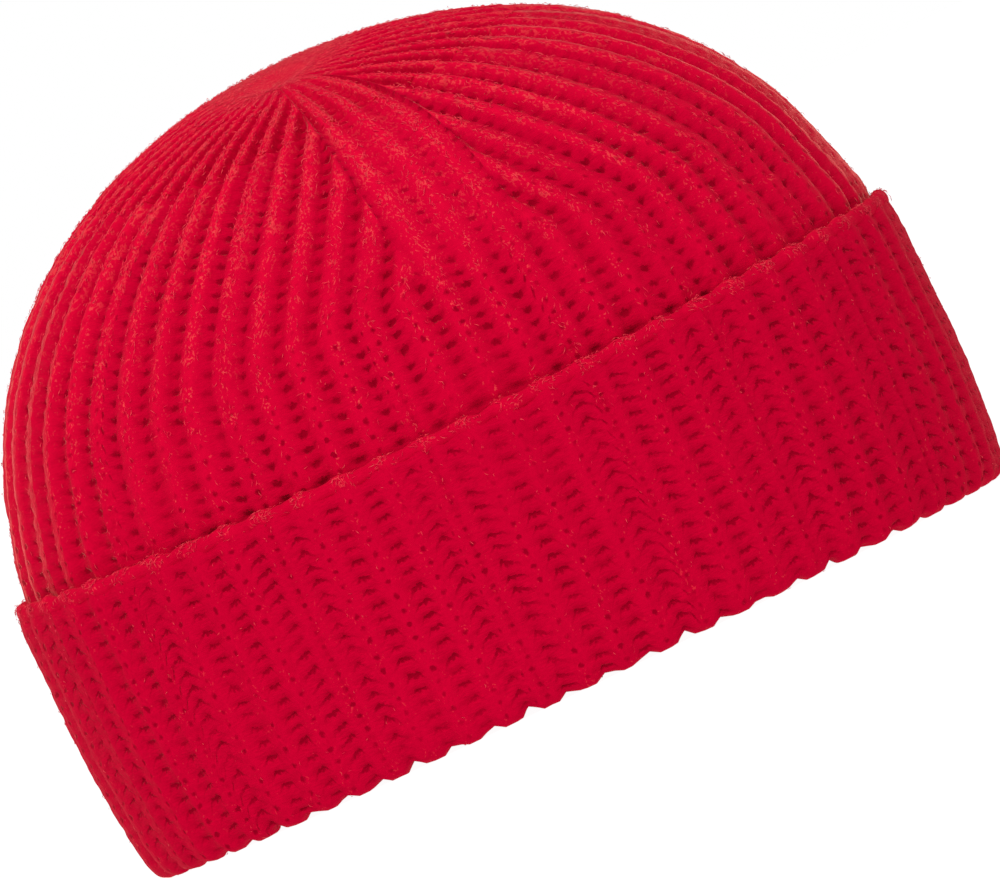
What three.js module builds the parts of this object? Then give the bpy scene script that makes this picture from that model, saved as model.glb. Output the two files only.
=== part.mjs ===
import * as THREE from 'three';

// A ribbed knit cap with a deep turned-up cuff, resting on its fold.
// Millimetres, +Z up, +X along the head's long way, -Y towards the side that shows its crown dart.
// The origin is the centre of the oval that the fold stands on.

// Outer sizes
const hatLength = 215;
const hatDepth = 161;
const cuffHeight = 68.5;
const crownRise = 83;

// The knit: one layer's thickness from rib crest to inner face, and the space between two pieces
const layerThickness = 3.4;
const pieceGap = 0.4;
const ribCount = 60;
const ribRelief = 1.6;
const innerRibRelief = 0.6;

// A gathered rib is at least this many times as wide as it is deep
const leastRibWidth = 2.2;

// The fold that closes the bottom of the cuff
const foldHeight = 6.5;
const foldPadWidth = 2.2;
const foldScallop = 1.7;
const foldFlatShare = 0.5;
const tuckDepth = 3;
const tuckRise = 32;

// The cuff's upper edge dips at the front and back, and leans a little towards the crown
const cuffDip = 4;
const cuffLean = 0.7;
const cuffTopRelief = 0.8;
const edgeHeight = 2.9;
const edgeBump = 0.45;

// Where the ribs meet at the top, measured from the middle of the oval, and how late the rings move there
const tipAlong = -3;
const tipAcross = -12;
const tipPull = 1.5;

// The crown's dart: its place round the oval, in degrees from the middle of the front
const dartTurn = 11.1;
const dartFade = 0.1;

const yarnColour = 0xc7012c;
const edgeColour = 0xd2203a;
const yarnRoughness = 0.94;

// Each row is a section of the crown. rise is a share of crownRise,
// and reach is a share of the crown's half length and half depth.
const crownSections = [
  { rise: 0.0, reach: 1.0 },
  { rise: 0.07, reach: 0.993 },
  { rise: 0.19, reach: 0.965 },
  { rise: 0.32, reach: 0.93 },
  { rise: 0.45, reach: 0.878 },
  { rise: 0.57, reach: 0.81 },
  { rise: 0.68, reach: 0.728 },
  { rise: 0.78, reach: 0.63 },
  { rise: 0.865, reach: 0.512 },
  { rise: 0.93, reach: 0.38 },
  { rise: 0.975, reach: 0.235 },
  { rise: 1.0, reach: 0.1 },
];
const tipRise = 0.988;

// Ribs that the dart takes in. ribsOut counts from the dart's middle rib,
// and end is the share of crownRise at which that rib has gone.
const dartRibs = [
  { ribsOut: 2, end: 0.46 },
  { ribsOut: 3, end: 0.62 },
  { ribsOut: 4, end: 0.77 },
  { ribsOut: 5, end: 0.88 },
];

// The fold's round, from its pads up the outer face. across is a share of foldWidth from the outside,
// up is a share of foldHeight, and relief and scallop are shares of ribRelief and foldScallop.
const foldSections = [
  { across: 0.14, up: 0.24, relief: 0.7, scallop: 0.6 },
  { across: 0.02, up: 0.8, relief: 1.0, scallop: 0.0 },
];
const foldInnerSection = { across: 0.9, up: 0.24, relief: 0.0, scallop: 0.6 };

// The cuff's outer face. rise is a share of cuffHeight, and hollow a share of layerThickness.
const cuffSections = [
  { rise: 0.2, hollow: 0.06 },
  { rise: 0.45, hollow: 0.0 },
  { rise: 0.72, hollow: 0.0 },
  { rise: 0.9, hollow: 0.03 },
];

// The rolled upper edge. across is a share of layerThickness from the cuff's outer face inwards,
// up is a share of edgeHeight, and bump is the share of edgeBump that its loops stand out.
const edgeSections = [
  { across: 0.06, up: 0.0, bump: 0.0 },
  { across: -0.1, up: 0.32, bump: 0.6 },
  { across: 0.04, up: 0.78, bump: 1.0 },
  { across: 0.36, up: 1.0, bump: 1.0 },
  { across: 0.72, up: 0.82, bump: 0.6 },
  { across: 0.84, up: 0.0, bump: 0.0 },
];

const halfLength = hatLength / 2;
const halfDepth = hatDepth / 2;
const foldWidth = 2 * layerThickness + pieceGap;
const crownInset = layerThickness + pieceGap;
const crownFoot = foldHeight + pieceGap;
const edgeFoot = cuffHeight - edgeHeight;
const cuffTop = edgeFoot - pieceGap;
const fullTurn = 2 * Math.PI;
const quarterTurn = Math.PI / 2;

// Lengths along the oval, so that ribs can be spaced evenly round it
const ovalSteps = 1440;
const ovalLengths = [0];
for (let step = 1; step <= ovalSteps; step += 1) {
  const from = ((step - 1) / ovalSteps) * fullTurn;
  const to = (step / ovalSteps) * fullTurn;
  const along = halfLength * (Math.cos(to) - Math.cos(from));
  const across = halfDepth * (Math.sin(to) - Math.sin(from));
  ovalLengths.push(ovalLengths[step - 1] + Math.hypot(along, across));
}
const ovalLength = ovalLengths[ovalSteps];

// The share of the way round the oval at an angle
function shareAt(angle) {
  const turns = angle / fullTurn;
  const place = (turns - Math.floor(turns)) * ovalSteps;
  const step = Math.floor(place);
  const next = Math.min(step + 1, ovalSteps);
  return THREE.MathUtils.lerp(ovalLengths[step], ovalLengths[next], place - step) / ovalLength;
}

// The angle at a share of the way round the oval
function angleAt(share) {
  const length = (share - Math.floor(share)) * ovalLength;
  let step = Math.floor((length / ovalLength) * ovalSteps);
  while (step > 0 && ovalLengths[step] > length) {
    step -= 1;
  }
  while (step < ovalSteps - 1 && ovalLengths[step + 1] <= length) {
    step += 1;
  }
  const part = (length - ovalLengths[step]) / (ovalLengths[step + 1] - ovalLengths[step]);
  return ((step + part) / ovalSteps) * fullTurn;
}

const dartShare = shareAt(THREE.MathUtils.degToRad(dartTurn) - quarterTurn);

// How wide a rib still is at a share of the crown's rise: 1 when whole, 0 when the dart has taken it
function ribWeight(rib, rise) {
  const half = ribCount / 2;
  const ribsOut = Math.abs(((rib + half / 2) % half) - half / 2);
  const row = dartRibs.find((entry) => entry.ribsOut === ribsOut);
  return row ? 1 - THREE.MathUtils.smoothstep(rise, row.end - dartFade, row.end) : 1;
}

// The ribs that are left at a share of the crown's rise.
// Each has its number, its weight and its place round the oval.
function ribsAt(rise) {
  const ribs = [];
  let total = 0;
  for (let rib = 0; rib < ribCount; rib += 1) {
    const weight = ribWeight(rib, rise);
    if (weight > 0) {
      ribs.push({ rib, weight, start: total });
      total += weight;
    }
  }
  const first = ribs[0].weight / 2;
  return ribs.map(({ rib, weight, start }) => ({
    rib,
    weight,
    middle: dartShare + (start + weight / 2 - first) / total,
    end: dartShare + (start + weight - first) / total,
    pitch: (weight / total) * ovalLength,
  }));
}

// A ring's columns: each rib gives a crest and the valley after it.
// order sorts the columns of two rings alike, and relief is 0 on a crest and 1 in a valley.
function ribColumns(rise) {
  return ribsAt(rise).flatMap(({ rib, weight, middle, end }) => [
    { order: rib, share: middle, relief: (1 - weight) / 2 },
    { order: rib + 0.5, share: end, relief: 1 },
  ]);
}

// A ring's columns under the fold, where each crest has a flat stretch with two ends
function foldColumns() {
  return ribsAt(0).flatMap(({ rib, middle, end }) => {
    const half = foldFlatShare * (end - middle);
    return [
      { order: rib - foldFlatShare / 2, share: middle - half, relief: 0 },
      { order: rib + foldFlatShare / 2, share: middle + half, relief: 0 },
      { order: rib + 0.5, share: end, relief: 1 },
    ];
  });
}

// A ring's columns on an inner face, where the ribs alternate the other way about
function innerColumns(rise) {
  return ribColumns(rise).map((column) => ({ ...column, relief: 1 - column.relief }));
}

// How far the wall is drawn in towards the fold at a height
function tuckAt(height) {
  const left = Math.max(0, 1 - height / tuckRise);
  return tuckDepth * left * left;
}

// How far a height drops at the front and back of the cuff
function dipAt(height, angle) {
  const share = height / cuffHeight;
  return cuffDip * share * share * Math.sin(angle) ** 2;
}

// A ring of the straight wall: inset from the outer oval, and at a height.
// relief sinks its valleys inwards, scallop lifts them, and a ring of the cuff dips at the front and back.
function wallRing(columns, { inset, height, relief = 0, scallop = 0, isCuff = true }) {
  return columns.map((column) => {
    const angle = angleAt(column.share);
    const inwards = inset + tuckAt(height) + relief * column.relief;
    const drop = isCuff ? dipAt(height, angle) : 0;
    return {
      order: column.order,
      point: [
        (halfLength - inwards) * Math.cos(angle),
        (halfDepth - inwards) * Math.sin(angle),
        height - drop + scallop * column.relief,
      ],
    };
  });
}

// The crown's outline turned a quarter: how much of its normal points outwards and how much up
function crownSlope(index) {
  const before = crownSections[Math.max(0, index - 1)];
  const after = crownSections[Math.min(crownSections.length - 1, index + 1)];
  const outwards = (after.rise - before.rise) * crownRise;
  const upwards = ((before.reach - after.reach) * (halfLength + halfDepth)) / 2;
  const length = Math.hypot(outwards, upwards);
  return { outwards: outwards / length, upwards: upwards / length };
}

// How far the crown's rings have moved towards the tip, as a share, once they reach so far out
function tipShift(reach) {
  return (1 - reach) ** tipPull;
}

// A ring of the crown, sunk below its outer surface by a depth and by its ribs' relief
function crownRing(index, columns, depth, relief) {
  const { rise, reach } = crownSections[index];
  const slope = crownSlope(index);
  const shift = tipShift(reach);
  const pitch = ribsAt(rise)[0].pitch * reach;
  const ribDepth = Math.min(relief, pitch / leastRibWidth);
  return columns.map((column) => {
    const angle = angleAt(column.share);
    const sunk = depth + ribDepth * column.relief;
    const along = (halfLength - crownInset) * reach - slope.outwards * sunk;
    const across = (halfDepth - crownInset) * reach - slope.outwards * sunk;
    return {
      order: column.order,
      point: [
        along * Math.cos(angle) + tipAlong * shift,
        across * Math.sin(angle) + tipAcross * shift,
        cuffHeight + crownRise * rise - slope.upwards * sunk,
      ],
    };
  });
}

// A body's mesh, filled ring by ring
class RingMesh {
  constructor() {
    this.points = [];
    this.faces = [];
  }

  // Puts a ring's points in the mesh and gives back its columns with their vertex numbers
  add(ring) {
    return ring.map(({ order, point }) => {
      this.points.push(...point);
      return { order, vertex: this.points.length / 3 - 1 };
    });
  }

  // Joins two rings whose columns may differ, taking the nearer next column each time
  join(lower, upper) {
    let low = 0;
    let high = 0;
    while (low < lower.length || high < upper.length) {
      const lowNow = lower[low % lower.length];
      const highNow = upper[high % upper.length];
      const lowNext = lower[(low + 1) % lower.length];
      const highNext = upper[(high + 1) % upper.length];
      const lowOrder = lowNext.order + (low + 1 >= lower.length ? ribCount : 0);
      const highOrder = highNext.order + (high + 1 >= upper.length ? ribCount : 0);
      const useLow = high >= upper.length || (low < lower.length && lowOrder <= highOrder);
      if (useLow) {
        this.faces.push(lowNow.vertex, lowNext.vertex, highNow.vertex);
        low += 1;
      } else {
        this.faces.push(lowNow.vertex, highNext.vertex, highNow.vertex);
        high += 1;
      }
    }
  }

  // Closes a ring with a fan to one point: above it, or below it when the ring is an inner one
  close(ring, point, isInner) {
    this.points.push(...point);
    const pole = this.points.length / 3 - 1;
    ring.forEach((column, index) => {
      const next = ring[(index + 1) % ring.length];
      const face = isInner ? [next.vertex, column.vertex, pole] : [column.vertex, next.vertex, pole];
      this.faces.push(...face);
    });
  }

  geometry() {
    const geometry = new THREE.BufferGeometry();
    geometry.setAttribute('position', new THREE.Float32BufferAttribute(this.points, 3));
    geometry.setIndex(this.faces);
    geometry.computeVertexNormals();
    return geometry;
  }
}

// Joins each ring to the next, and the last to the first where the section is a closed loop
function skin(mesh, rings, isLoop) {
  const placed = rings.map((ring) => mesh.add(ring));
  for (let index = 1; index < placed.length; index += 1) {
    mesh.join(placed[index - 1], placed[index]);
  }
  if (isLoop) {
    mesh.join(placed[placed.length - 1], placed[0]);
  }
  return placed;
}

// The crown: the ribbed wall inside the cuff and the dome above it, hollow underneath
function crownGeometry() {
  const wallHeights = [crownFoot, tuckRise, cuffTop];
  const wall = { inset: crownInset, relief: ribRelief, isCuff: false };
  const outer = wallHeights.map((height) => wallRing(ribColumns(0), { ...wall, height }));
  crownSections.forEach((section, index) => {
    outer.push(crownRing(index, ribColumns(section.rise), 0, ribRelief));
  });
  const faceDepth = layerThickness - innerRibRelief;
  const inner = [];
  for (let index = crownSections.length - 1; index > 0; index -= 1) {
    inner.push(crownRing(index, innerColumns(crownSections[index].rise), faceDepth, innerRibRelief));
  }
  const face = { inset: crownInset + faceDepth, relief: innerRibRelief, isCuff: false };
  for (const height of [...wallHeights].reverse()) {
    inner.push(wallRing(innerColumns(0), { ...face, height }));
  }
  const mesh = new RingMesh();
  const outerPlaced = skin(mesh, outer, false);
  const innerPlaced = skin(mesh, inner, false);
  const tip = cuffHeight + crownRise * tipRise;
  mesh.close(outerPlaced[outerPlaced.length - 1], [tipAlong, tipAcross, tip], false);
  mesh.close(innerPlaced[0], [tipAlong, tipAcross, tip - layerThickness], true);
  mesh.join(innerPlaced[innerPlaced.length - 1], outerPlaced[0]);
  return mesh.geometry();
}

// A ring of the fold's round
function foldRing({ across, up, relief, scallop }) {
  return wallRing(foldColumns(), {
    inset: across * foldWidth,
    height: up * foldHeight,
    relief: relief * ribRelief,
    scallop: scallop * foldScallop,
  });
}

// The cuff: the turned-up layer and the fold that it stands on
function cuffGeometry() {
  const padInner = (foldWidth + foldPadWidth) / 2;
  const padOuter = (foldWidth - foldPadWidth) / 2;
  const pads = [padInner, padOuter].map((inset) => (
    wallRing(foldColumns(), { inset, height: 0, scallop: foldScallop })));
  const face = cuffSections.map(({ rise, hollow }) => wallRing(ribColumns(0), {
    inset: hollow * layerThickness,
    height: rise * cuffHeight,
    relief: ribRelief,
  }));
  const rim = wallRing(ribColumns(0), { inset: cuffLean, height: cuffTop, relief: cuffTopRelief });
  const hidden = [cuffTop, tuckRise, foldHeight].map((height) => (
    wallRing(innerColumns(0), { inset: layerThickness, height })));
  const lip = wallRing(innerColumns(0), {
    inset: foldWidth - innerRibRelief,
    height: foldHeight,
    relief: innerRibRelief,
  });
  const mesh = new RingMesh();
  const outside = [...pads, ...foldSections.map(foldRing), ...face, rim];
  const inside = [...hidden, lip, foldRing(foldInnerSection)];
  skin(mesh, [...outside, ...inside], true);
  return mesh.geometry();
}

// The rolled edge along the top of the cuff, one loop to each rib crest
function edgeGeometry() {
  const mesh = new RingMesh();
  const rings = edgeSections.map(({ across, up, bump }) => wallRing(ribColumns(0), {
    inset: cuffLean + across * layerThickness,
    height: edgeFoot + up * edgeHeight,
    relief: edgeBump * bump,
  }));
  skin(mesh, rings, true);
  return mesh.geometry();
}

function knit(name, geometry, colour) {
  const material = new THREE.MeshStandardMaterial({ color: colour, roughness: yarnRoughness, metalness: 0 });
  const mesh = new THREE.Mesh(geometry, material);
  mesh.name = name;
  return mesh;
}

const hat = new THREE.Group();
hat.add(knit('crown', crownGeometry(), yarnColour));
hat.add(knit('cuff', cuffGeometry(), yarnColour));
hat.add(knit('cast_on_edge', edgeGeometry(), edgeColour));

export default hat;
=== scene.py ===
"""A ribbed fisherman beanie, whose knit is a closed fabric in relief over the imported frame.

Lengths are in metres. The crown's rows climb from the cuff to the tip, and the cuff's rows run down from
the cast-on edge to the fold, because the cuff is the start of the same fabric, turned up.
"""

import logging
import math
from dataclasses import dataclass, field
from enum import Enum

import bpy
import numpy as np
from mathutils import Matrix, Vector


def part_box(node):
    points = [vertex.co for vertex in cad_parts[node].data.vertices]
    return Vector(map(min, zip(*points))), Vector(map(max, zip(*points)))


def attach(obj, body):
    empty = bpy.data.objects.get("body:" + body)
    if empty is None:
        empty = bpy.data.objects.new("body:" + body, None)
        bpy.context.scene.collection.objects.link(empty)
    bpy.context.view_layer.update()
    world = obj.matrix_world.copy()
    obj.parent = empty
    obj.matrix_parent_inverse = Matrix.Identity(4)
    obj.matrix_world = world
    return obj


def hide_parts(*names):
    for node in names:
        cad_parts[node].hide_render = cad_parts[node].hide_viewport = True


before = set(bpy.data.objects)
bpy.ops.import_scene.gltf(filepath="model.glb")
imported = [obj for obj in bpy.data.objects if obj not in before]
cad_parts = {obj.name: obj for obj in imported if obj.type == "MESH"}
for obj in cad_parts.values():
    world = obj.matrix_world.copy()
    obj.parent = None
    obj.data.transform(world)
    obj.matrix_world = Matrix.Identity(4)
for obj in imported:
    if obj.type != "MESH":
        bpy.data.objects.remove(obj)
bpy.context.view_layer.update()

LOG = logging.getLogger("beanie")
FULL_TURN = 2 * math.pi
MM = 0.001
MERGE_GAP = 0.02 * MM
SHORTEST_STEP = 1e-9
NO_LENGTH = 1e-14
GRID_MARGIN = 1e-3
# The torus and the sphere that the fabric is shaped from
START_RADIUS = 0.1
START_TUBE = 0.02
# How far out a strand's side starts to fall steeply, in its own roundness
FLANK_REACH = 1.6
# The share of its draw that a fibre's start stands off the yarn, and the range of fibres' thickness
ROOT_LIFT = 0.5
THICKNESS_RANGE = (0.7, 1.3)
# Ranges that the finishes map values between
UNIT = (0.0, 1.0)
FALL = (1.0, 0.0)
NOISE_SPAN = (0.35, 0.65)
HALF_ROW = 0.5
WHITE = (1.0, 1.0, 1.0, 1.0)

Colour = tuple[float, float, float]
Stretch = tuple[float, float, float]
Span = tuple[float, float]


class Course(Enum):
    """Which way the rows of a piece climb on its outside."""

    UPRIGHT = 1
    UPTURNED = -1


def ramp(value: np.ndarray, start: float, end: float) -> np.ndarray:
    """Goes evenly from 0 where a value is at the start to 1 where it is at the end, and holds there."""
    return np.clip((value - start) / (end - start), 0, 1)


def flank(off: np.ndarray, roundness: float) -> np.ndarray:
    """Gives how far a strand's side falls away at a distance from its middle."""
    return off**2 / (2 * roundness) * (1 + (off / (FLANK_REACH * roundness)) ** 2)


def smooth_steps(points: np.ndarray, steps: int) -> np.ndarray:
    """Draws a smooth line through a few points.

    Args:
        points: The points, one to a row.
        steps: How many pieces each span is cut into.

    Returns:
        The points of the line, one to a row, with the given ones among them.
    """
    padded = np.vstack([2 * points[0] - points[1], points, 2 * points[-1] - points[-2]])
    part = np.linspace(0, 1, steps, endpoint=False)[:, None]
    spans = []
    for before, start, end, after in zip(padded, padded[1:], padded[2:], padded[3:]):
        slope_in = (end - before) / 2
        slope_out = (after - start) / 2
        spans.append(
            (2 * part**3 - 3 * part**2 + 1) * start
            + (part**3 - 2 * part**2 + part) * slope_in
            + (3 * part**2 - 2 * part**3) * end
            + (part**3 - part**2) * slope_out
        )
    return np.vstack([*spans, points[-1:]])


@dataclass
class HeadOval:
    """The oval that the cap is stretched to, measured round so that ribs can be spaced evenly.

    Args:
        half_length: Half of its length along X.
        half_depth: Half of its depth along Y.
    """

    half_length: float
    half_depth: float
    steps: int = 1440
    angles: np.ndarray = field(init=False)
    shares: np.ndarray = field(init=False)
    girth: float = field(init=False)

    def __post_init__(self) -> None:
        """Measures the oval step by step."""
        self.angles = np.linspace(0, FULL_TURN, self.steps + 1)
        along = self.half_length * np.cos(self.angles)
        across = self.half_depth * np.sin(self.angles)
        lengths = np.concatenate([[0], np.cumsum(np.hypot(np.diff(along), np.diff(across)))])
        self.girth = float(lengths[-1])
        self.shares = lengths / self.girth

    def angle_at(self, share: np.ndarray) -> np.ndarray:
        """Gives the angle at a share of the way round."""
        return np.interp(share % 1.0, self.shares, self.angles)

    def share_at(self, angle: float) -> float:
        """Gives the share of the way round at an angle."""
        return float(np.interp(angle % FULL_TURN, self.angles, self.shares))


@dataclass
class RibPlan:
    """How the ribs share out the way round, and how the crown's two darts cut some of them off.

    Args:
        oval: The oval that the ribs go round.
    """

    oval: HeadOval
    count: int = 60
    dart_turn: float = math.radians(11.1)
    # Ribs out from a dart's middle, and the shares of the crown's rise where it starts and ends to cut them
    dart_ribs: tuple[tuple[int, float, float], ...] = (
        (2, 0.32, 0.49), (3, 0.49, 0.665), (4, 0.665, 0.83),
        (5, 0.83, 0.925), (6, 0.925, 0.97), (7, 0.97, 0.99),
    )
    band_ribs: int = 1

    def ribs_out(self) -> np.ndarray:
        """Gives how many ribs each rib lies from the middle of its dart, with the side as its sign."""
        half = self.count // 2
        return (np.arange(self.count) + half // 2) % half - half // 2

    def weights(self, rise: np.ndarray) -> np.ndarray:
        """Gives how much of each rib is left, from 0 to 1, at each share of the crown's rise.

        Args:
            rise: Shares of the crown's rise.

        Returns:
            One row to a rib and one column to a rise.
        """
        weights = np.ones((self.count, len(rise)))
        for out, start, end in self.dart_ribs:
            weights[np.abs(self.ribs_out()) == out] = 1 - ramp(rise, start, end)
        return weights


class KnitForm:
    """A surface that ribs run over, read by the share of the way round and by the knitted row."""

    course: Course
    ribs: RibPlan
    row_pitch: float
    first_row: float
    last_row: float
    rib_pitch: float = 9.8 * MM
    fullness_limits: Span = (0.02, 1.1)
    # The ribs' grid: its step in rows, its rows past each end, and the steps over which a cut is eased
    grid_step: float = 0.2
    spare_rows: int = 3
    easing: int = 7
    # How far the pits close towards the tip, and the share of the rise at which they have
    closing: float = 0.75
    closed_at: float = 0.55
    # How flat a dart's band is, and the shares of the rise over which that comes and then fades
    calm: float = 0.62
    calm_start: Span = (0.26, 0.40)
    calm_end: Span = (0.76, 0.90)
    calm_loss: float = 0.55
    # How far to each side a slope is measured
    slope_ribs: float = 0.1
    slope_rows: float = 0.4

    def locate(self, share: np.ndarray, row: np.ndarray) -> np.ndarray:
        """Gives the points of the rib crests' surface at shares of the way round and rows."""
        raise NotImplementedError

    def rise_at(self, row: np.ndarray) -> np.ndarray:
        """Gives the share of the crown's rise that a row lies at."""
        raise NotImplementedError

    def girth_at(self, row: np.ndarray) -> np.ndarray:
        """Gives the length round the surface at a row."""
        raise NotImplementedError

    def lay_out(self) -> None:
        """Works out where each rib runs, on a fine grid of rows."""
        spare = self.spare_rows
        self.grid = np.arange(self.first_row - spare, self.last_row + spare, self.grid_step)
        sharp = self.ribs.weights(self.rise_at(self.grid))
        padded = np.pad(sharp, ((0, 0), (self.easing // 2, self.easing // 2)), mode="edge")
        window = np.ones(self.easing) / self.easing
        self.weights = np.array([np.convolve(line, window, mode="valid") for line in padded])
        self.totals = self.weights.sum(axis=0)
        start = np.cumsum(self.weights, axis=0) - self.weights
        dart = self.ribs.oval.share_at(self.ribs.dart_turn - math.pi / 2)
        self.middles = dart + (start + self.weights / 2 - self.weights[0] / 2) / self.totals
        self.sides = np.sign(self.ribs.ribs_out())

    def read(self, table: np.ndarray, rib: np.ndarray, row: np.ndarray) -> np.ndarray:
        """Reads a table of ribs and rows between its grid lines.

        Args:
            table: One row to a rib and one column to a grid line.
            rib: Whole rib numbers.
            row: Knitted rows, whole or not.

        Returns:
            The values, in the shape of row.
        """
        last_place = len(self.grid) - 1 - GRID_MARGIN
        place = np.clip((row - self.grid[0]) / self.grid_step, 0, last_place)
        low = place.astype(int)
        part = place - low
        return table[rib, low] * (1 - part) + table[rib, low + 1] * part

    def fold_at(self, row: np.ndarray) -> np.ndarray:
        """Gives how far a row lies under the fold, from 0 to 1, where each rib ends in a round lobe."""
        return np.zeros_like(row)

    def opening_at(self, row: np.ndarray) -> np.ndarray:
        """Gives how far the pits on the ribs are open at a row, which the fuzz closes towards the tip."""
        return 1 - self.closing * ramp(self.rise_at(row), 0.0, self.closed_at)

    def calm_at(self, rib: np.ndarray, row: np.ndarray) -> np.ndarray:
        """Gives how far the stitches are flattened, as they are on the band between a dart's two lines."""
        out = np.abs(self.ribs.ribs_out())[rib]
        rise = self.rise_at(row)
        start = ramp(rise, *self.calm_start)
        end = 1 - self.calm_loss * ramp(rise, *self.calm_end)
        return np.where(out <= self.ribs.band_ribs, self.calm * start * end, 0.0)

    def fullness_at(self, row: np.ndarray) -> np.ndarray:
        """Gives how wide a whole rib is at a row, as a share of its full width."""
        pitch = self.girth_at(row) / np.interp(row, self.grid, self.totals)
        return np.clip(pitch / self.rib_pitch, *self.fullness_limits)

    def stitch_place(self, rib: np.ndarray, across: np.ndarray, row: np.ndarray) -> np.ndarray:
        """Finds which part of a rib's own width shows at a place, because a dart cuts some ribs off.

        Args:
            rib: Whole rib numbers.
            across: Places across what is left of the rib, from -0.5 to 0.5.
            row: Knitted rows.

        Returns:
            Places across the whole rib, from -0.5 to 0.5.
        """
        left = self.read(self.weights, rib, row)
        return across * left + self.sides[rib] * (1 - left) / 2

    def facing(self, share: np.ndarray, row: np.ndarray) -> np.ndarray:
        """Gives the outward normals of the surface."""
        small_share = self.slope_ribs / self.ribs.count
        small_row = self.slope_rows
        around = self.locate(share + small_share, row) - self.locate(share - small_share, row)
        upwards = self.locate(share, row + small_row) - self.locate(share, row - small_row)
        normal = np.cross(around, upwards) * self.course.value
        length = np.linalg.norm(normal, axis=-1, keepdims=True)
        return np.where(length > NO_LENGTH, normal / np.maximum(length, NO_LENGTH), (0.0, 0.0, 1.0))

    def share_of(self, rib: np.ndarray, across: np.ndarray, row: np.ndarray) -> np.ndarray:
        """Gives the share of the way round of a place across what is left of a rib."""
        left = self.read(self.weights, rib, row)
        total = np.interp(row, self.grid, self.totals)
        return self.read(self.middles, rib, row) + across * left / total

    def place(self, rib: np.ndarray, across: np.ndarray, row: np.ndarray, height: np.ndarray) -> np.ndarray:
        """Puts points on the surface.

        Args:
            rib: Whole rib numbers.
            across: Places across what is left of the rib, from -0.5 to 0.5.
            row: Knitted rows.
            height: Heights over the crests' surface.

        Returns:
            The points, one to a row.
        """
        share = self.share_of(rib, across, row)
        return self.locate(share, row) + self.facing(share, row) * height[..., None]


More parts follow.
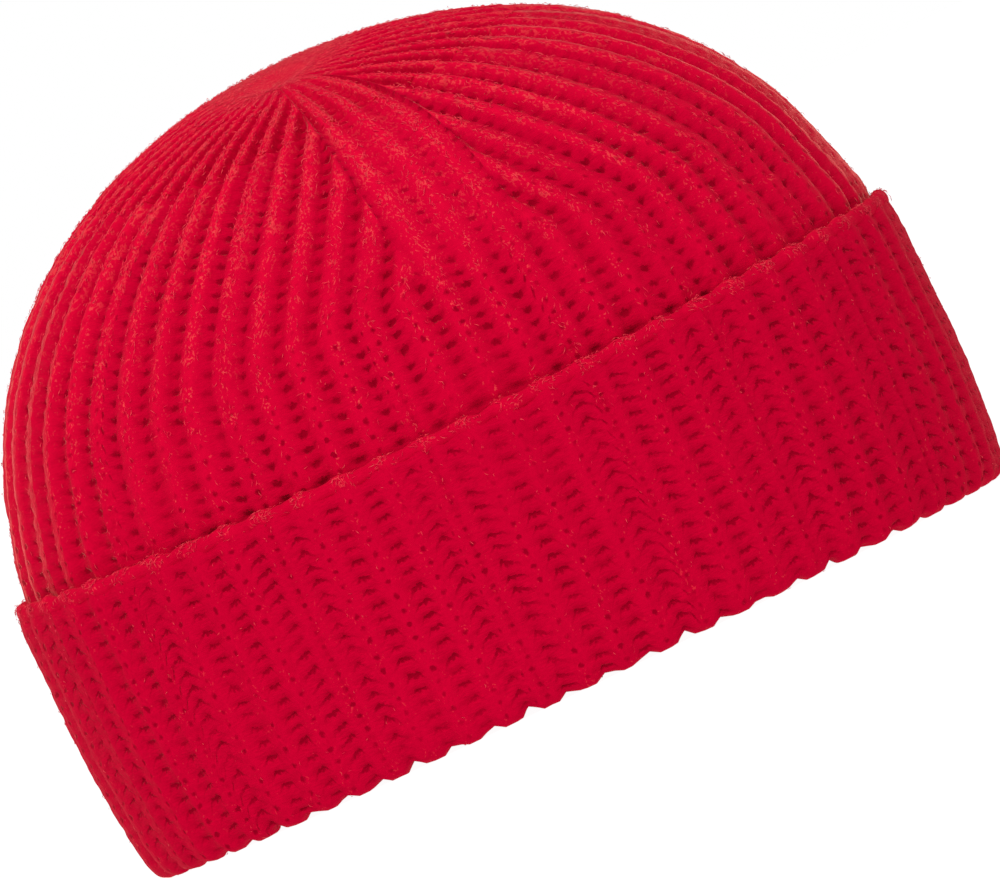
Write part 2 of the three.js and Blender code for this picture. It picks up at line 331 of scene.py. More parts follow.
@dataclass
class CrownForm(KnitForm):
    """The crown: a straight wall inside the cuff and the dome above it.

    Args:
        ribs: The plan of the ribs.
        foot: Height of the wall's lower end.
        base: Height at which the dome starts, level with the top of the cuff.
        rise: Height of the dome.
        inset: Distance from the cuff's outer oval to the crown's crests.
    """

    ribs: RibPlan
    foot: float
    base: float
    rise: float
    inset: float
    row_pitch: float = 3.75 * MM
    tuck_depth: float = 3 * MM
    tuck_rise: float = 32 * MM
    # Where the dome is highest, and where the ribs meet in a small hollow down its front slope
    top_along: float = -3 * MM
    top_across: float = -12 * MM
    hub_along: float = -3.6 * MM
    hub_across: float = -31 * MM
    hub_hollow: float = 0.8 * MM
    hub_reach: float = 0.07
    pull: float = 1.5
    shift_rounds: int = 8
    profile_steps: int = 40
    course: Course = Course.UPRIGHT
    # Sections of the dome: share of its rise, and share of its half length and half depth
    sections: tuple[tuple[float, float], ...] = (
        (0.0, 1.0), (0.07, 0.993), (0.19, 0.965), (0.32, 0.93), (0.45, 0.878), (0.57, 0.81),
        (0.68, 0.728), (0.78, 0.63), (0.865, 0.512), (0.93, 0.38), (0.975, 0.235), (0.994, 0.1),
        (1.0, 0.0),
    )

    def __post_init__(self) -> None:
        """Draws the profile and lays the ribs out over it."""
        oval = self.ribs.oval
        self.half_length = oval.half_length - self.inset
        self.half_depth = oval.half_depth - self.inset
        mean = (self.half_length + self.half_depth) / 2
        dome = smooth_steps(np.array(self.sections), self.profile_steps)
        wall = np.linspace(self.foot, self.base, self.profile_steps, endpoint=False)
        self.dome_heights = self.base + self.rise * dome[::-1, 0]
        self.dome_reaches = dome[::-1, 1]
        self.heights = np.concatenate([wall, self.base + self.rise * dome[:, 0]])
        self.reaches = np.concatenate([np.ones(len(wall)), dome[:, 1]])
        steps = np.hypot(np.diff(self.reaches) * mean, np.diff(self.heights))
        travel = np.concatenate([[0], np.cumsum(steps)])
        self.travels = travel - travel[len(wall)]
        self.first_row = self.travels[0] / self.row_pitch
        self.last_row = self.travels[-1] / self.row_pitch
        self.lay_out()

    def rise_at(self, row: np.ndarray) -> np.ndarray:
        """Gives the share of the crown's rise that a row lies at."""
        height = np.interp(row * self.row_pitch, self.travels, self.heights)
        return np.clip((height - self.base) / self.rise, 0, 1)

    def girth_at(self, row: np.ndarray) -> np.ndarray:
        """Gives the length round the surface at a row."""
        oval = self.ribs.oval
        scale = (self.half_length + self.half_depth) / (oval.half_length + oval.half_depth)
        return oval.girth * scale * np.interp(row * self.row_pitch, self.travels, self.reaches)

    def dome_height(self, along: np.ndarray, across: np.ndarray) -> np.ndarray:
        """Gives the height of the dome over places on its plan.

        Args:
            along: Places along X.
            across: Places along Y.

        Returns:
            The heights.
        """
        reach = np.hypot(along / self.half_length, across / self.half_depth)
        for _ in range(self.shift_rounds):
            shift = np.maximum(1 - reach, 0) ** self.pull
            reach = np.hypot(
                (along - self.top_along * shift) / self.half_length,
                (across - self.top_across * shift) / self.half_depth,
            )
        return np.interp(reach, self.dome_reaches, self.dome_heights)

    def locate(self, share: np.ndarray, row: np.ndarray) -> np.ndarray:
        """Gives the points of the rib crests' surface at shares of the way round and rows."""
        travel = row * self.row_pitch
        reach = np.interp(travel, self.travels, self.reaches)
        height = np.interp(travel, self.travels, self.heights)
        tuck = self.tuck_depth * np.maximum(1 - height / self.tuck_rise, 0) ** 2
        angle = self.ribs.oval.angle_at(share)
        shift = (1 - reach) ** self.pull
        along = (self.half_length * reach - tuck) * np.cos(angle) + self.hub_along * shift
        across = (self.half_depth * reach - tuck) * np.sin(angle) + self.hub_across * shift
        hollow = self.hub_hollow * np.exp(-((reach / self.hub_reach) ** 2))
        height = np.where(travel > 0, self.dome_height(along, across) - hollow, height)
        return np.stack([along, across, height], axis=-1)


@dataclass
class CuffForm(KnitForm):
    """The cuff: the turned-up layer from its top down to the fold, and the fold's round.

    Args:
        ribs: The plan of the ribs.
        height: Height of the cuff with its cast-on edge.
        top: Height at which its own rows start, under the cast-on edge.
        layer: Thickness of one layer of the knit.
        fold_width: Thickness of the two layers at the fold.
    """

    ribs: RibPlan
    height: float
    top: float
    layer: float
    fold_width: float
    row_pitch: float = 3.54 * MM
    fold_height: float = 6.5 * MM
    tuck_depth: float = 3 * MM
    tuck_rise: float = 32 * MM
    dip: float = 4 * MM
    lean: float = 0.7 * MM
    profile_steps: int = 30
    # The rows over which the pits open under the edge, and the rows of the fold's lobes past its lowest one
    open_rows: Span = (0.5, 1.0)
    fold_below: float = 0.4
    fold_rows: float = 1.4
    course: Course = Course.UPTURNED
    # The outer face, from the top: share of the cuff's height, and inset as a share of the layer
    face: tuple[tuple[float, float], ...] = ((0.9, 0.03), (0.72, 0.0), (0.45, 0.0), (0.2, 0.06))
    # The fold, from outside: share of the fold's width inwards, and share of its height
    fold: tuple[tuple[float, float], ...] = (
        (0.02, 0.8), (0.12, 0.22), (0.34, 0.0), (0.66, 0.0), (0.9, 0.24), (1.0, 1.0), (1.0, 2.4),
    )

    def __post_init__(self) -> None:
        """Draws the profile and lays the ribs out over it."""
        points = [(self.lean, self.top)]
        points += [(hollow * self.layer, rise * self.height) for rise, hollow in self.face]
        points += [(inwards * self.fold_width, up * self.fold_height) for inwards, up in self.fold]
        tucked = np.array([(inset + self.tuck_at(z), z) for inset, z in points])
        line = smooth_steps(tucked, self.profile_steps)
        self.insets = line[:, 0]
        self.heights = line[:, 1]
        steps = np.hypot(np.diff(self.insets), np.diff(self.heights))
        self.travels = np.concatenate([[0], np.cumsum(steps)])
        self.first_row = 0.0
        self.last_row = self.travels[-1] / self.row_pitch
        self.lay_out()

    def tuck_at(self, height: float) -> float:
        """Gives how far the wall is drawn in towards the fold."""
        return self.tuck_depth * max(1 - height / self.tuck_rise, 0) ** 2

    def row_of(self, height: float) -> float:
        """Gives the row at which the outer face comes down to a height."""
        lowest = int(np.argmin(self.heights))
        return float(np.interp(-height, -self.heights[:lowest], self.travels[:lowest])) / self.row_pitch

    def rise_at(self, row: np.ndarray) -> np.ndarray:
        """Gives the share of the crown's rise that a row lies at, which is none on the cuff."""
        return np.zeros_like(row)

    def opening_at(self, row: np.ndarray) -> np.ndarray:
        """Gives how far the pits are open at a row: not at all beside the cast-on edge."""
        return ramp(row, *self.open_rows)

    def fold_at(self, row: np.ndarray) -> np.ndarray:
        """Gives how far a row lies under the fold, from 0 to 1, where each rib ends in a round lobe."""
        lowest = self.travels[int(np.argmin(self.heights))] / self.row_pitch
        return np.exp(-(((row - lowest - self.fold_below) / self.fold_rows) ** 2))

    def girth_at(self, row: np.ndarray) -> np.ndarray:
        """Gives the length round the surface at a row."""
        return self.ribs.oval.girth - FULL_TURN * np.interp(row * self.row_pitch, self.travels, self.insets)

    def locate(self, share: np.ndarray, row: np.ndarray) -> np.ndarray:
        """Gives the points of the rib crests' surface at shares of the way round and rows."""
        travel = row * self.row_pitch
        above = np.minimum(travel, 0)
        inset = np.interp(travel, self.travels, self.insets)
        height = np.interp(travel, self.travels, self.heights) - above
        return self.points_at(self.ribs.oval.angle_at(share), inset, height)

    def points_at(self, angle: np.ndarray, inset: np.ndarray, height: np.ndarray) -> np.ndarray:
        """Gives points at angles round the cuff, insets from its oval, and heights before it dips.

        Args:
            angle: Angles round the oval.
            inset: Distances inwards from the oval.
            height: Heights at the ends of the oval, from which the cuff dips to the front and back.

        Returns:
            The points, one to a row.
        """
        drop = self.dip * (height / self.height) ** 2 * np.sin(angle) ** 2
        along = (self.ribs.oval.half_length - inset) * np.cos(angle)
        across = (self.ribs.oval.half_depth - inset) * np.sin(angle)
        return np.stack([along, across, height - drop], axis=-1)


@dataclass
class Ripples:
    """Smooth unevenness over the fabric: the sum of a few waves, from about -1 to 1.

    Args:
        random: The source of the draws.
        ribs: Number of ribs round the cap, over which the waves close.
        rounds: Fewest and most waves round the cap.
        climb: Least and greatest turn of a wave from one row to the next.
        count: Number of waves.
    """

    random: np.random.Generator
    ribs: int
    rounds: tuple[int, int]
    climb: Span
    count: int = 6

    def __post_init__(self) -> None:
        """Draws the waves."""
        self.around = self.random.integers(*self.rounds, self.count) * FULL_TURN / self.ribs
        self.upwards = self.random.uniform(*self.climb, self.count)
        self.upwards *= self.random.choice((-1, 1), self.count)
        self.start = self.random.uniform(0, FULL_TURN, self.count)

    def at(self, around: np.ndarray, row: np.ndarray) -> np.ndarray:
        """Gives the unevenness at places round the cap, counted in ribs, and rows."""
        waves = around[..., None] * self.around + row[..., None] * self.upwards + self.start
        return np.sin(waves).sum(axis=-1) / self.count**0.5


@dataclass
class StitchRelief:
    """The height of the yarn over the surface, stitch by stitch, with each stitch a little different.

    A raised column is a chain of V stitches, and between two of them lies a column of arcs that bow. Their
    yarns blend into each other, as in a fulled knit, and leave a pit in each V and a slot over each arc.
    All lengths hold for a rib of full width, and all heights are over the surface.

    Args:
        form: The surface that the yarn lies on.
        seed: Start of the random draws.
    """

    form: KnitForm
    seed: int
    # The legs of the V stitches
    leg_middle: float = 1.00 * MM
    leg_lean: float = 0.62 * MM
    leg_height: float = -0.10 * MM
    leg_dip: float = 0.85 * MM
    leg_level: float = 0.68
    leg_stretch: float = 0.85
    leg_round: float = 1.2 * MM
    # The arcs in the furrows, and what lies below all yarn
    arc_height: float = -1.0 * MM
    arc_dip: float = 0.55 * MM
    arc_reach: float = 2.9 * MM
    arc_bow: float = 0.62
    arc_round: float = 2.6 * MM
    floor: float = -2.7 * MM
    blend: float = 0.30 * MM
    # The pits in the V stitches and the slots over the arcs, and the shares of a rib where each is drawn
    pit_depth: Span = (0.24 * MM, 0.50 * MM)
    pit_size: Span = (0.56 * MM, 0.58 * MM)
    pit_above: float = 0.12
    pit_sway: float = 0.5
    pit_open_depth: float = 0.36 * MM
    pit_zone: float = 0.25
    slot_depth: Span = (0.10 * MM, 0.24 * MM)
    slot_width: float = 1.6 * MM
    slot_height: float = 0.55 * MM
    slot_opening: float = 3.0
    slot_open_depth: float = 0.16 * MM
    slot_zone: float = 0.2
    # How stitches differ one by one, in rows and in lengths
    spare_rows: int = 4
    shift_spread: float = 0.05
    leg_lift_spread: float = 0.08 * MM
    leg_aside_spread: float = 0.09 * MM
    arc_lift_spread: float = 0.10 * MM
    arc_tilt_spread: float = 0.03
    # How they differ from place to place: waves round the cap, and their turn from one row to the next
    sway: float = 0.3 * MM
    lift: float = 0.09
    sway_rounds: tuple[int, int] = (8, 28)
    sway_climb: Span = (0.9, 2.6)
    fulling_spread: float = 0.28
    fulling_rounds: tuple[int, int] = (2, 9)
    fulling_climb: Span = (0.2, 0.7)
    openness_limits: Span = (0.3, 1.8)
    # How they shrink as a rib narrows, given as its fullness at the start and at the end
    least_left: float = 0.3
    slot_fade: Span = (0.3, 0.8)
    yarn_fade: Span = (0.24, 0.62)
    pleat_fade: Span = (0.28, 0.6)
    hub_fade: Span = (0.24, 0.11)
    pleat_depth: float = 2.9 * MM
    pleat_width: float = 1.5
    # The seams of the darts
    gone_from: float = 0.35
    seam_from: float = 0.2
    seam_height: float = -0.5 * MM
    seam_width: float = 1.5 * MM
    seam_gain: float = 1.5
    # The lobes under the fold, and the calm band of a dart
    lobe_depth: float = 2.6 * MM
    lobe_shape: float = 4.0
    lobe_share: float = 0.8
    calm_height: float = -0.5 * MM
    band_marks: float = 0.7
    # What the finish takes for a crest, where it paints a highlight, and for a hollow and a sunk place,
    # where it paints shade
    crest_zone: Span = (0.27, 0.07)
    band_crest: float = 0.5
    hub_crest: float = 0.5
    hollow_shade_depth: float = 1.2 * MM
    sunk_depth: float = 2.0 * MM

    def __post_init__(self) -> None:
        """Draws how each stitch differs from the next."""
        random = np.random.default_rng(self.seed)
        ribs = self.form.ribs.count
        self.row_zero = math.floor(self.form.first_row) - self.spare_rows
        rows = math.ceil(self.form.last_row) + self.spare_rows + 1 - self.row_zero
        shape = (ribs, rows)
        sides = (-1, 1)
        self.leg_shift = {side: random.normal(0, self.shift_spread, shape) for side in sides}
        self.leg_lift = {side: random.normal(0, self.leg_lift_spread, shape) for side in sides}
        self.leg_aside = {side: random.normal(0, self.leg_aside_spread, shape) for side in sides}
        self.arc_shift = random.normal(0, self.shift_spread, shape)
        self.arc_lift = random.normal(0, self.arc_lift_spread, shape)
        self.arc_tilt = random.normal(0, self.arc_tilt_spread, shape)
        self.swaying = Ripples(random, ribs, self.sway_rounds, self.sway_climb)
        self.lifting = Ripples(random, ribs, self.sway_rounds, self.sway_climb)
        fulling = Ripples(random, ribs, self.fulling_rounds, self.fulling_climb)
        rib, stitch = np.mgrid[0:ribs, 0:rows].astype(float)
        openness = 1 + self.fulling_spread * fulling.at(rib, stitch)
        openness = np.clip(openness, *self.openness_limits)
        self.pit_depths = random.uniform(*self.pit_depth, shape) * openness
        self.slot_depths = random.uniform(*self.slot_depth, shape) * openness

    def pick(self, table: np.ndarray, rib: np.ndarray, stitch: np.ndarray) -> np.ndarray:
        """Reads what was drawn for a stitch."""
        column = np.clip(stitch - self.row_zero, 0, table.shape[1] - 1)
        return table[rib % table.shape[0], column]

    def measure(self, rib: np.ndarray, across: np.ndarray, row: np.ndarray) -> dict[str, np.ndarray]:
        """Works out the relief at places on the fabric.

        Args:
            rib: Whole rib numbers.
            across: Places across what is left of the rib, from -0.5 to 0.5.
            row: Knitted rows.

        Returns:
            The height over the surface, how far the place lies in a hollow, how far it is a crest, and its
            place on the flat fabric.
        """
        place = self.form.stitch_place(rib, across, row)
        fullness = self.form.fullness_at(row)
        side_along = place * self.form.rib_pitch
        furrow, beside = self.furrow_place(rib, place)
        sway = self.sway * self.swaying.at(rib + place, row)
        knitted = row + self.lift * self.lifting.at(rib + place, row)
        pit, pit_marks = self.pit(rib, place, side_along + self.pit_sway * sway, knitted)
        squeeze = np.clip(fullness, self.least_left, 1)
        shrink = np.maximum(ramp(fullness, *self.slot_fade), self.least_left)
        slot, slot_marks = self.slot(furrow, place, beside + sway, squeeze, knitted)
        slot = slot * shrink
        slot_marks[..., 2] *= shrink
        low = np.floor(knitted).astype(int)
        heights = [np.full(row.shape, self.floor)]
        for stitch in (low - 1, low, low + 1):
            heights += [self.leg(side, rib, stitch, side_along, knitted) for side in (-1, 1)]
            heights.append(self.arc(furrow, beside, stitch, squeeze, knitted))
        stack = np.stack(heights) / self.blend
        top = stack.max(axis=0)
        yarn = (top + np.log(np.exp(stack - top).sum(axis=0))) * self.blend
        calm = self.form.calm_at(rib, row)
        fold = self.lobe_share * self.form.fold_at(row)
        lobe = -self.lobe_depth * np.abs(2 * place) ** self.lobe_shape
        yarn = yarn + (lobe - yarn) * fold
        pits = (pit + slot) * (1 - calm) * (1 - fold)
        yarn = yarn + (self.calm_height - yarn) * calm
        narrow = np.clip(1 - fullness, 0, 1)
        valley = np.abs(np.sin(math.pi * place)) ** self.pleat_width
        pleat = self.pleat_depth * narrow * valley * ramp(fullness, *self.pleat_fade) * (1 - calm)
        height = (yarn - pits) * ramp(fullness, *self.yarn_fade) - pleat
        seam = self.seam_height * np.minimum(self.seam_gain * fullness, 1)
        height = height + (seam - height) * self.seam_at(rib, across, row)
        spread = np.maximum(self.band_crest * calm, self.hub_crest * ramp(fullness, *self.hub_fade))
        whole = np.ones(row.shape)
        cloth = (rib * self.form.rib_pitch + side_along, row * self.form.row_pitch, 0 * whole)
        shown = np.stack([whole, whole, (1 - self.band_marks * calm) * (1 - fold)], axis=-1)
        # The hollow and sunk values tell the finish where to paint shade, and the crest where to paint a
        # highlight
        return {
            "height": height,
            "hollow": ramp(pits, 0.0, self.hollow_shade_depth),
            "sunk": ramp(pleat - yarn * np.clip(fullness, 0, 1), 0.0, self.sunk_depth),
            "crest": np.maximum(ramp(np.abs(place), *self.crest_zone), spread),
            "cloth": np.stack(cloth, axis=-1),
            "pit_mark": pit_marks * shown,
            "slot_mark": slot_marks * shown,
        }

    def leg(
        self, side: int, rib: np.ndarray, stitch: np.ndarray, along_rib: np.ndarray, row: np.ndarray
    ) -> np.ndarray:
        """Gives the height of one leg of the V stitches.

        Args:
            side: 1 for the right leg and -1 for the left one.
            rib: Whole rib numbers.
            stitch: Whole stitch numbers.
            along_rib: Distances across the rib from its middle.
            row: Knitted rows.

        Returns:
            Heights over the surface.
        """
        rise = row - stitch - self.pick(self.leg_shift[side], rib, stitch)
        middle = self.leg_middle + self.leg_lean * rise + self.pick(self.leg_aside[side], rib, stitch)
        off = side * along_rib - middle
        top = self.leg_height + self.pick(self.leg_lift[side], rib, stitch)
        top = top - self.leg_dip * ((rise - self.leg_level) / self.leg_stretch) ** 4
        return top - flank(off, self.leg_round)

    def furrow_place(self, rib: np.ndarray, place: np.ndarray) -> tuple[np.ndarray, np.ndarray]:
        """Finds the furrow beside a place and the distance across from its middle."""
        right = place >= 0
        beside = np.where(right, place - 0.5, place + 0.5) * self.form.rib_pitch
        return np.where(right, rib, rib - 1), beside

    def arc(
        self,
        furrow: np.ndarray,
        beside: np.ndarray,
        stitch: np.ndarray,
        squeeze: np.ndarray,
        row: np.ndarray,
    ) -> np.ndarray:
        """Gives the height of the sunk arcs between two raised columns.

        Args:
            furrow: Whole furrow numbers.
            beside: Distances from the furrow's middle.
            stitch: Whole stitch numbers.
            squeeze: The ribs' width, as a share of their full width.
            row: Knitted rows.

        Returns:
            Heights over the surface.
        """
        tilt = self.pick(self.arc_tilt, furrow, stitch) * beside / MM
        bow = self.arc_bow * (beside * squeeze / self.arc_reach) ** 2
        middle = stitch + 0.5 + bow + tilt + self.pick(self.arc_shift, furrow, stitch)
        off = (row - middle) * self.form.row_pitch
        top = self.arc_height + self.pick(self.arc_lift, furrow, stitch)
        top = top - self.arc_dip * (beside / self.arc_reach) ** 4
        return top - flank(off, self.arc_round)

    def pit(
        self, rib: np.ndarray, place: np.ndarray, off: np.ndarray, row: np.ndarray
    ) -> tuple[np.ndarray, np.ndarray]:
        """Gives the depth of the pits between the legs, and what the finish needs to draw them.

        Args:
            rib: Whole rib numbers.
            place: Places across the rib.
            off: Distances from the line of its pits.
            row: Knitted rows.

        Returns:
            Depths, and for each place its distance across, its row, and how open its pit is.
        """
        wide, high = self.pit_size
        count = row - self.pit_above
        stitch = np.rint(count).astype(int)
        above = (count - stitch) * self.form.row_pitch
        depth = self.pick(self.pit_depths, rib, stitch) * self.form.opening_at(row)
        open_by = np.where(np.abs(place) < self.pit_zone, depth / self.pit_open_depth, 0.0)
        marks = np.stack([off, count, open_by], axis=-1)
        return depth * np.exp(-((off / wide) ** 2) - (above / high) ** 2), marks

    def slot(
        self,
        furrow: np.ndarray,
        place: np.ndarray,
        off: np.ndarray,
        squeeze: np.ndarray,
        row: np.ndarray,
    ) -> tuple[np.ndarray, np.ndarray]:
        """Gives the depth of the bowed slots between the arcs, and what the finish needs to draw them.

        Args:
            furrow: Whole furrow numbers.
            place: Places across the rib.
            off: Distances from the furrow's middle.
            squeeze: The ribs' width, as a share of their full width.
            row: Knitted rows.

        Returns:
            Depths, and for each place its distance across, its row along the bow, and how open its slot is.
        """
        count = row - self.arc_bow * (off * squeeze / self.arc_reach) ** 2
        stitch = np.rint(count).astype(int)
        above = (count - stitch) * self.form.row_pitch
        line = np.exp(-((above / self.slot_height) ** 2)) * np.exp(-((off / self.slot_width) ** 4))
        opening = np.minimum(self.slot_opening * self.form.opening_at(row), 1)
        depth = self.pick(self.slot_depths, furrow, stitch) * opening
        open_by = np.where(np.abs(place) > self.slot_zone, depth / self.slot_open_depth, 0.0)
        return depth * line, np.stack([off, count, open_by], axis=-1)

    def seam_at(self, rib: np.ndarray, across: np.ndarray, row: np.ndarray) -> np.ndarray:
        """Gives how far the yarn is drawn down to a dart's seam, where the seam cuts a rib off.

        Args:
            rib: Whole rib numbers.
            across: Places across what is left of the rib, from -0.5 to 0.5.
            row: Knitted rows.

        Returns:
            Shares from 0 to 1.
        """
        left = self.form.read(self.form.weights, rib, row)
        inwards = (0.5 + self.form.sides[rib] * across) * left * self.form.rib_pitch
        beside = np.exp(-((inwards / self.seam_width) ** 2)) * ramp(1 - left, 0.0, self.seam_from)
        return np.maximum(beside, ramp(left, self.gone_from, 0.0))


def deselect_all() -> None:
    """Leaves object mode with nothing selected."""
    if bpy.context.object and bpy.context.object.mode != "OBJECT":
        bpy.ops.object.mode_set(mode="OBJECT")
    bpy.ops.object.select_all(action="DESELECT")


def add_torus(columns: int, rings: int) -> bpy.types.Object:
    """Adds a torus with so many columns round it and so many rings round its tube."""
    deselect_all()
    bpy.ops.mesh.primitive_torus_add(
        major_segments=columns, minor_segments=rings, major_radius=START_RADIUS, minor_radius=START_TUBE
    )
    return bpy.context.object


def add_sphere(columns: int, rings: int) -> bpy.types.Object:
    """Adds a sphere with so many columns round it and so many rings, poles included."""
    deselect_all()
    bpy.ops.mesh.primitive_uv_sphere_add(segments=columns, ring_count=rings - 1, radius=START_RADIUS)
    return bpy.context.object


def read_points(mesh: bpy.types.Mesh) -> np.ndarray:
    """Reads a mesh's vertices, one to a row."""
    flat = np.empty(len(mesh.vertices) * 3)
    mesh.vertices.foreach_get("co", flat)
    return flat.reshape(-1, 3)


def write_attributes(mesh: bpy.types.Mesh, attributes: dict[str, np.ndarray]) -> None:
    """Writes values for a mesh's vertices, one number or three each."""
    for name, values in attributes.items():
        if values.ndim == 1:
            stored = mesh.attributes.new(name, "FLOAT", "POINT")
            stored.data.foreach_set("value", values.astype(np.float32))
        else:
            stored = mesh.attributes.new(name, "FLOAT_VECTOR", "POINT")
            stored.data.foreach_set("vector", values.astype(np.float32).ravel())


def unroll_cloth(mesh: bpy.types.Mesh, girth: float) -> None:
    """Moves the places on the flat cloth to the faces' corners, so that none spans the whole way round.

    Args:
        mesh: A mesh of triangles with the attribute cloth on its vertices.
        girth: Length of the flat cloth the whole way round.
    """
    flat = np.empty(len(mesh.vertices) * 3, dtype=np.float32)
    mesh.attributes["cloth"].data.foreach_get("vector", flat)
    corners = np.empty(len(mesh.loops), dtype=np.int32)
    mesh.loops.foreach_get("vertex_index", corners)
    placed = flat.reshape(-1, 3)[corners].reshape(-1, 3, 3)
    along = placed[:, :, 0]
    along += np.where(along.max(axis=1, keepdims=True) - along > girth / 2, girth, 0)
    mesh.attributes.remove(mesh.attributes["cloth"])
    unrolled = mesh.attributes.new("cloth", "FLOAT_VECTOR", "CORNER")
    unrolled.data.foreach_set("vector", placed.ravel())


def finish_shell(piece: bpy.types.Object, girth: float, rim: np.ndarray | None = None) -> None:
    """Closes a shell's poles and folds, points its faces outwards, and smooths and triangulates it.

    Args:
        piece: The shell, with its vertices in place.
        girth: Length of its flat cloth the whole way round.
        rim: True for each vertex on a hard edge, if there is one.
    """
    mesh = piece.data
    if rim is not None:
        ends = np.empty(len(mesh.edges) * 2, dtype=np.int32)
        mesh.edges.foreach_get("vertices", ends)
        hard = rim[ends].reshape(-1, 2).all(axis=1)
        mesh.attributes.new("sharp_edge", "BOOLEAN", "EDGE").data.foreach_set("value", hard)
    deselect_all()
    piece.select_set(True)
    bpy.context.view_layer.objects.active = piece
    bpy.ops.object.mode_set(mode="EDIT")
    bpy.ops.mesh.select_all(action="SELECT")
    bpy.ops.mesh.remove_doubles(threshold=MERGE_GAP)
    bpy.ops.mesh.normals_make_consistent(inside=False)
    bpy.ops.mesh.faces_shade_smooth()
    bpy.ops.mesh.quads_convert_to_tris()
    bpy.ops.object.mode_set(mode="OBJECT")
    unroll_cloth(mesh, girth)


@dataclass
class KnitPiece:
    """A closed band or cap of the knit: an outer face with every stitch, and a plainer inner face.

    Args:
        name: The piece's name.
        form: The surface that it follows.
        relief: Its stitches.
        outer_rows: The rows of its outer face's rings, from its start to its end.
        inner_rows: The rows of its inner face's rings, from its end back to its start.
        layer: Thickness of the knit.
        per_rib: Columns of vertices for each rib.
        capped: Whether it closes over the tip, where its outer rows then start and its inner rows end.
    """

    name: str
    form: KnitForm
    relief: StitchRelief
    outer_rows: np.ndarray
    inner_rows: np.ndarray
    layer: float
    per_rib: int = 14
    capped: bool = False
    inner_relief: float = 0.6 * MM
    crowding: float = 1.15
    # What the finish reads on the inner face, which gets a steady painted shade, and how the pale fuzz and
    # painted highlight grow towards the tip
    inner_crest: float = 0.4
    inner_sunk: float = 0.3
    inner_bloom: float = 0.1
    least_bloom: float = 0.25
    bloom_rise: float = 0.75

    def build(self) -> bpy.types.Object:
        """Adds a torus or a sphere with the right number of rings, and moves its vertices to the fabric."""
        rows = np.concatenate([self.outer_rows, self.inner_rows])
        columns = self.form.ribs.count * self.per_rib
        add_form = add_sphere if self.capped else add_torus
        piece = add_form(columns, len(rows))
        piece.name = self.name
        piece.data.name = self.name
        ring, column = self.read_topology(read_points(piece.data), len(rows), columns)
        row = rows[ring]
        rib = column // self.per_rib
        across = self.places_across()[column % self.per_rib]
        outer = ring < len(self.outer_rows)
        marks = self.relief.measure(rib, across, row)
        height = np.where(outer, marks.pop("height"), self.inner_height(rib, across, row))
        points = self.form.place(rib, across, row, height)
        piece.data.vertices.foreach_set("co", points.astype(np.float32).ravel())
        # The inner face gets no painted shade in pits, and a steady painted shade all over
        marks["hollow"] = np.where(outer, marks["hollow"], 0.0)
        marks["crest"] = np.where(outer, marks["crest"], self.inner_crest)
        marks["sunk"] = np.where(outer, marks["sunk"], self.inner_sunk)
        marks["pit_mark"][~outer, 2] = 0.0
        marks["slot_mark"][~outer, 2] = 0.0
        marks["bloom"] = self.bloom(row, outer)
        write_attributes(piece.data, marks)
        ends = (len(self.outer_rows) - 1, len(self.outer_rows))
        rims = ends if self.capped else (0, *ends, len(rows) - 1)
        finish_shell(piece, self.form.ribs.count * self.form.rib_pitch, np.isin(ring, rims))
        return piece

    def places_across(self) -> np.ndarray:
        """Spaces a rib's columns, closer together at its middle, where the pits are."""
        half = self.per_rib // 2
        steps = np.arange(1 - half, half + 1)
        return np.sign(steps) * 0.5 * (np.abs(steps) / half) ** self.crowding

    def read_topology(self, points: np.ndarray, rings: int, columns: int) -> tuple[np.ndarray, np.ndarray]:
        """Reads which ring and which column each vertex of the torus or sphere belongs to.

        Args:
            points: Its vertices.
            rings: Its number of rings, with the poles.
            columns: Its number of columns.

        Returns:
            Ring numbers and column numbers.
        """
        reach = np.hypot(points[:, 0], points[:, 1])
        turn = np.arctan2(points[:, 1], points[:, 0]) / FULL_TURN
        if self.capped:
            ring = np.rint(np.arctan2(reach, points[:, 2]) / math.pi * (rings - 1)).astype(int)
        else:
            tube = np.arctan2(points[:, 2], reach - START_RADIUS) / FULL_TURN
            ring = np.rint(tube * rings).astype(int) % rings
        return ring, np.rint(turn * columns).astype(int) % columns

    def inner_height(self, rib: np.ndarray, across: np.ndarray, row: np.ndarray) -> np.ndarray:
        """Gives the height of the inner face, whose ribs stand where the outer face has its furrows."""
        place = self.form.stitch_place(rib, across, row)
        furrow = np.sin(math.pi * place) ** 2
        return -self.layer + self.inner_relief * (1 - furrow) * np.minimum(self.form.fullness_at(row), 1)

    def bloom(self, row: np.ndarray, outer: np.ndarray) -> np.ndarray:
        """Gives how much pale fuzz and painted highlight the finish puts on the yarn, which is more towards
        the tip.
        """
        grown = (1 - self.least_bloom) * ramp(self.form.rise_at(row), 0.0, self.bloom_rise)
        return np.where(outer, self.least_bloom + grown, self.inner_bloom)


@dataclass(frozen=True)
class FibreDraws:
    """How each fibre of a piece differs from the next.

    Args:
        turn: Angles from the way that the yarn runs.
        half: Halves of the lengths.
        bend: How far the middles are bent aside.
        stand: How far the middles, the starts and the ends stand off the yarn.
        radius: Halves of the thicknesses at the middle.
        tone: Shades from 0 to 1.
    """

    turn: np.ndarray
    half: np.ndarray
    bend: np.ndarray
    stand: np.ndarray
    radius: np.ndarray
    tone: np.ndarray


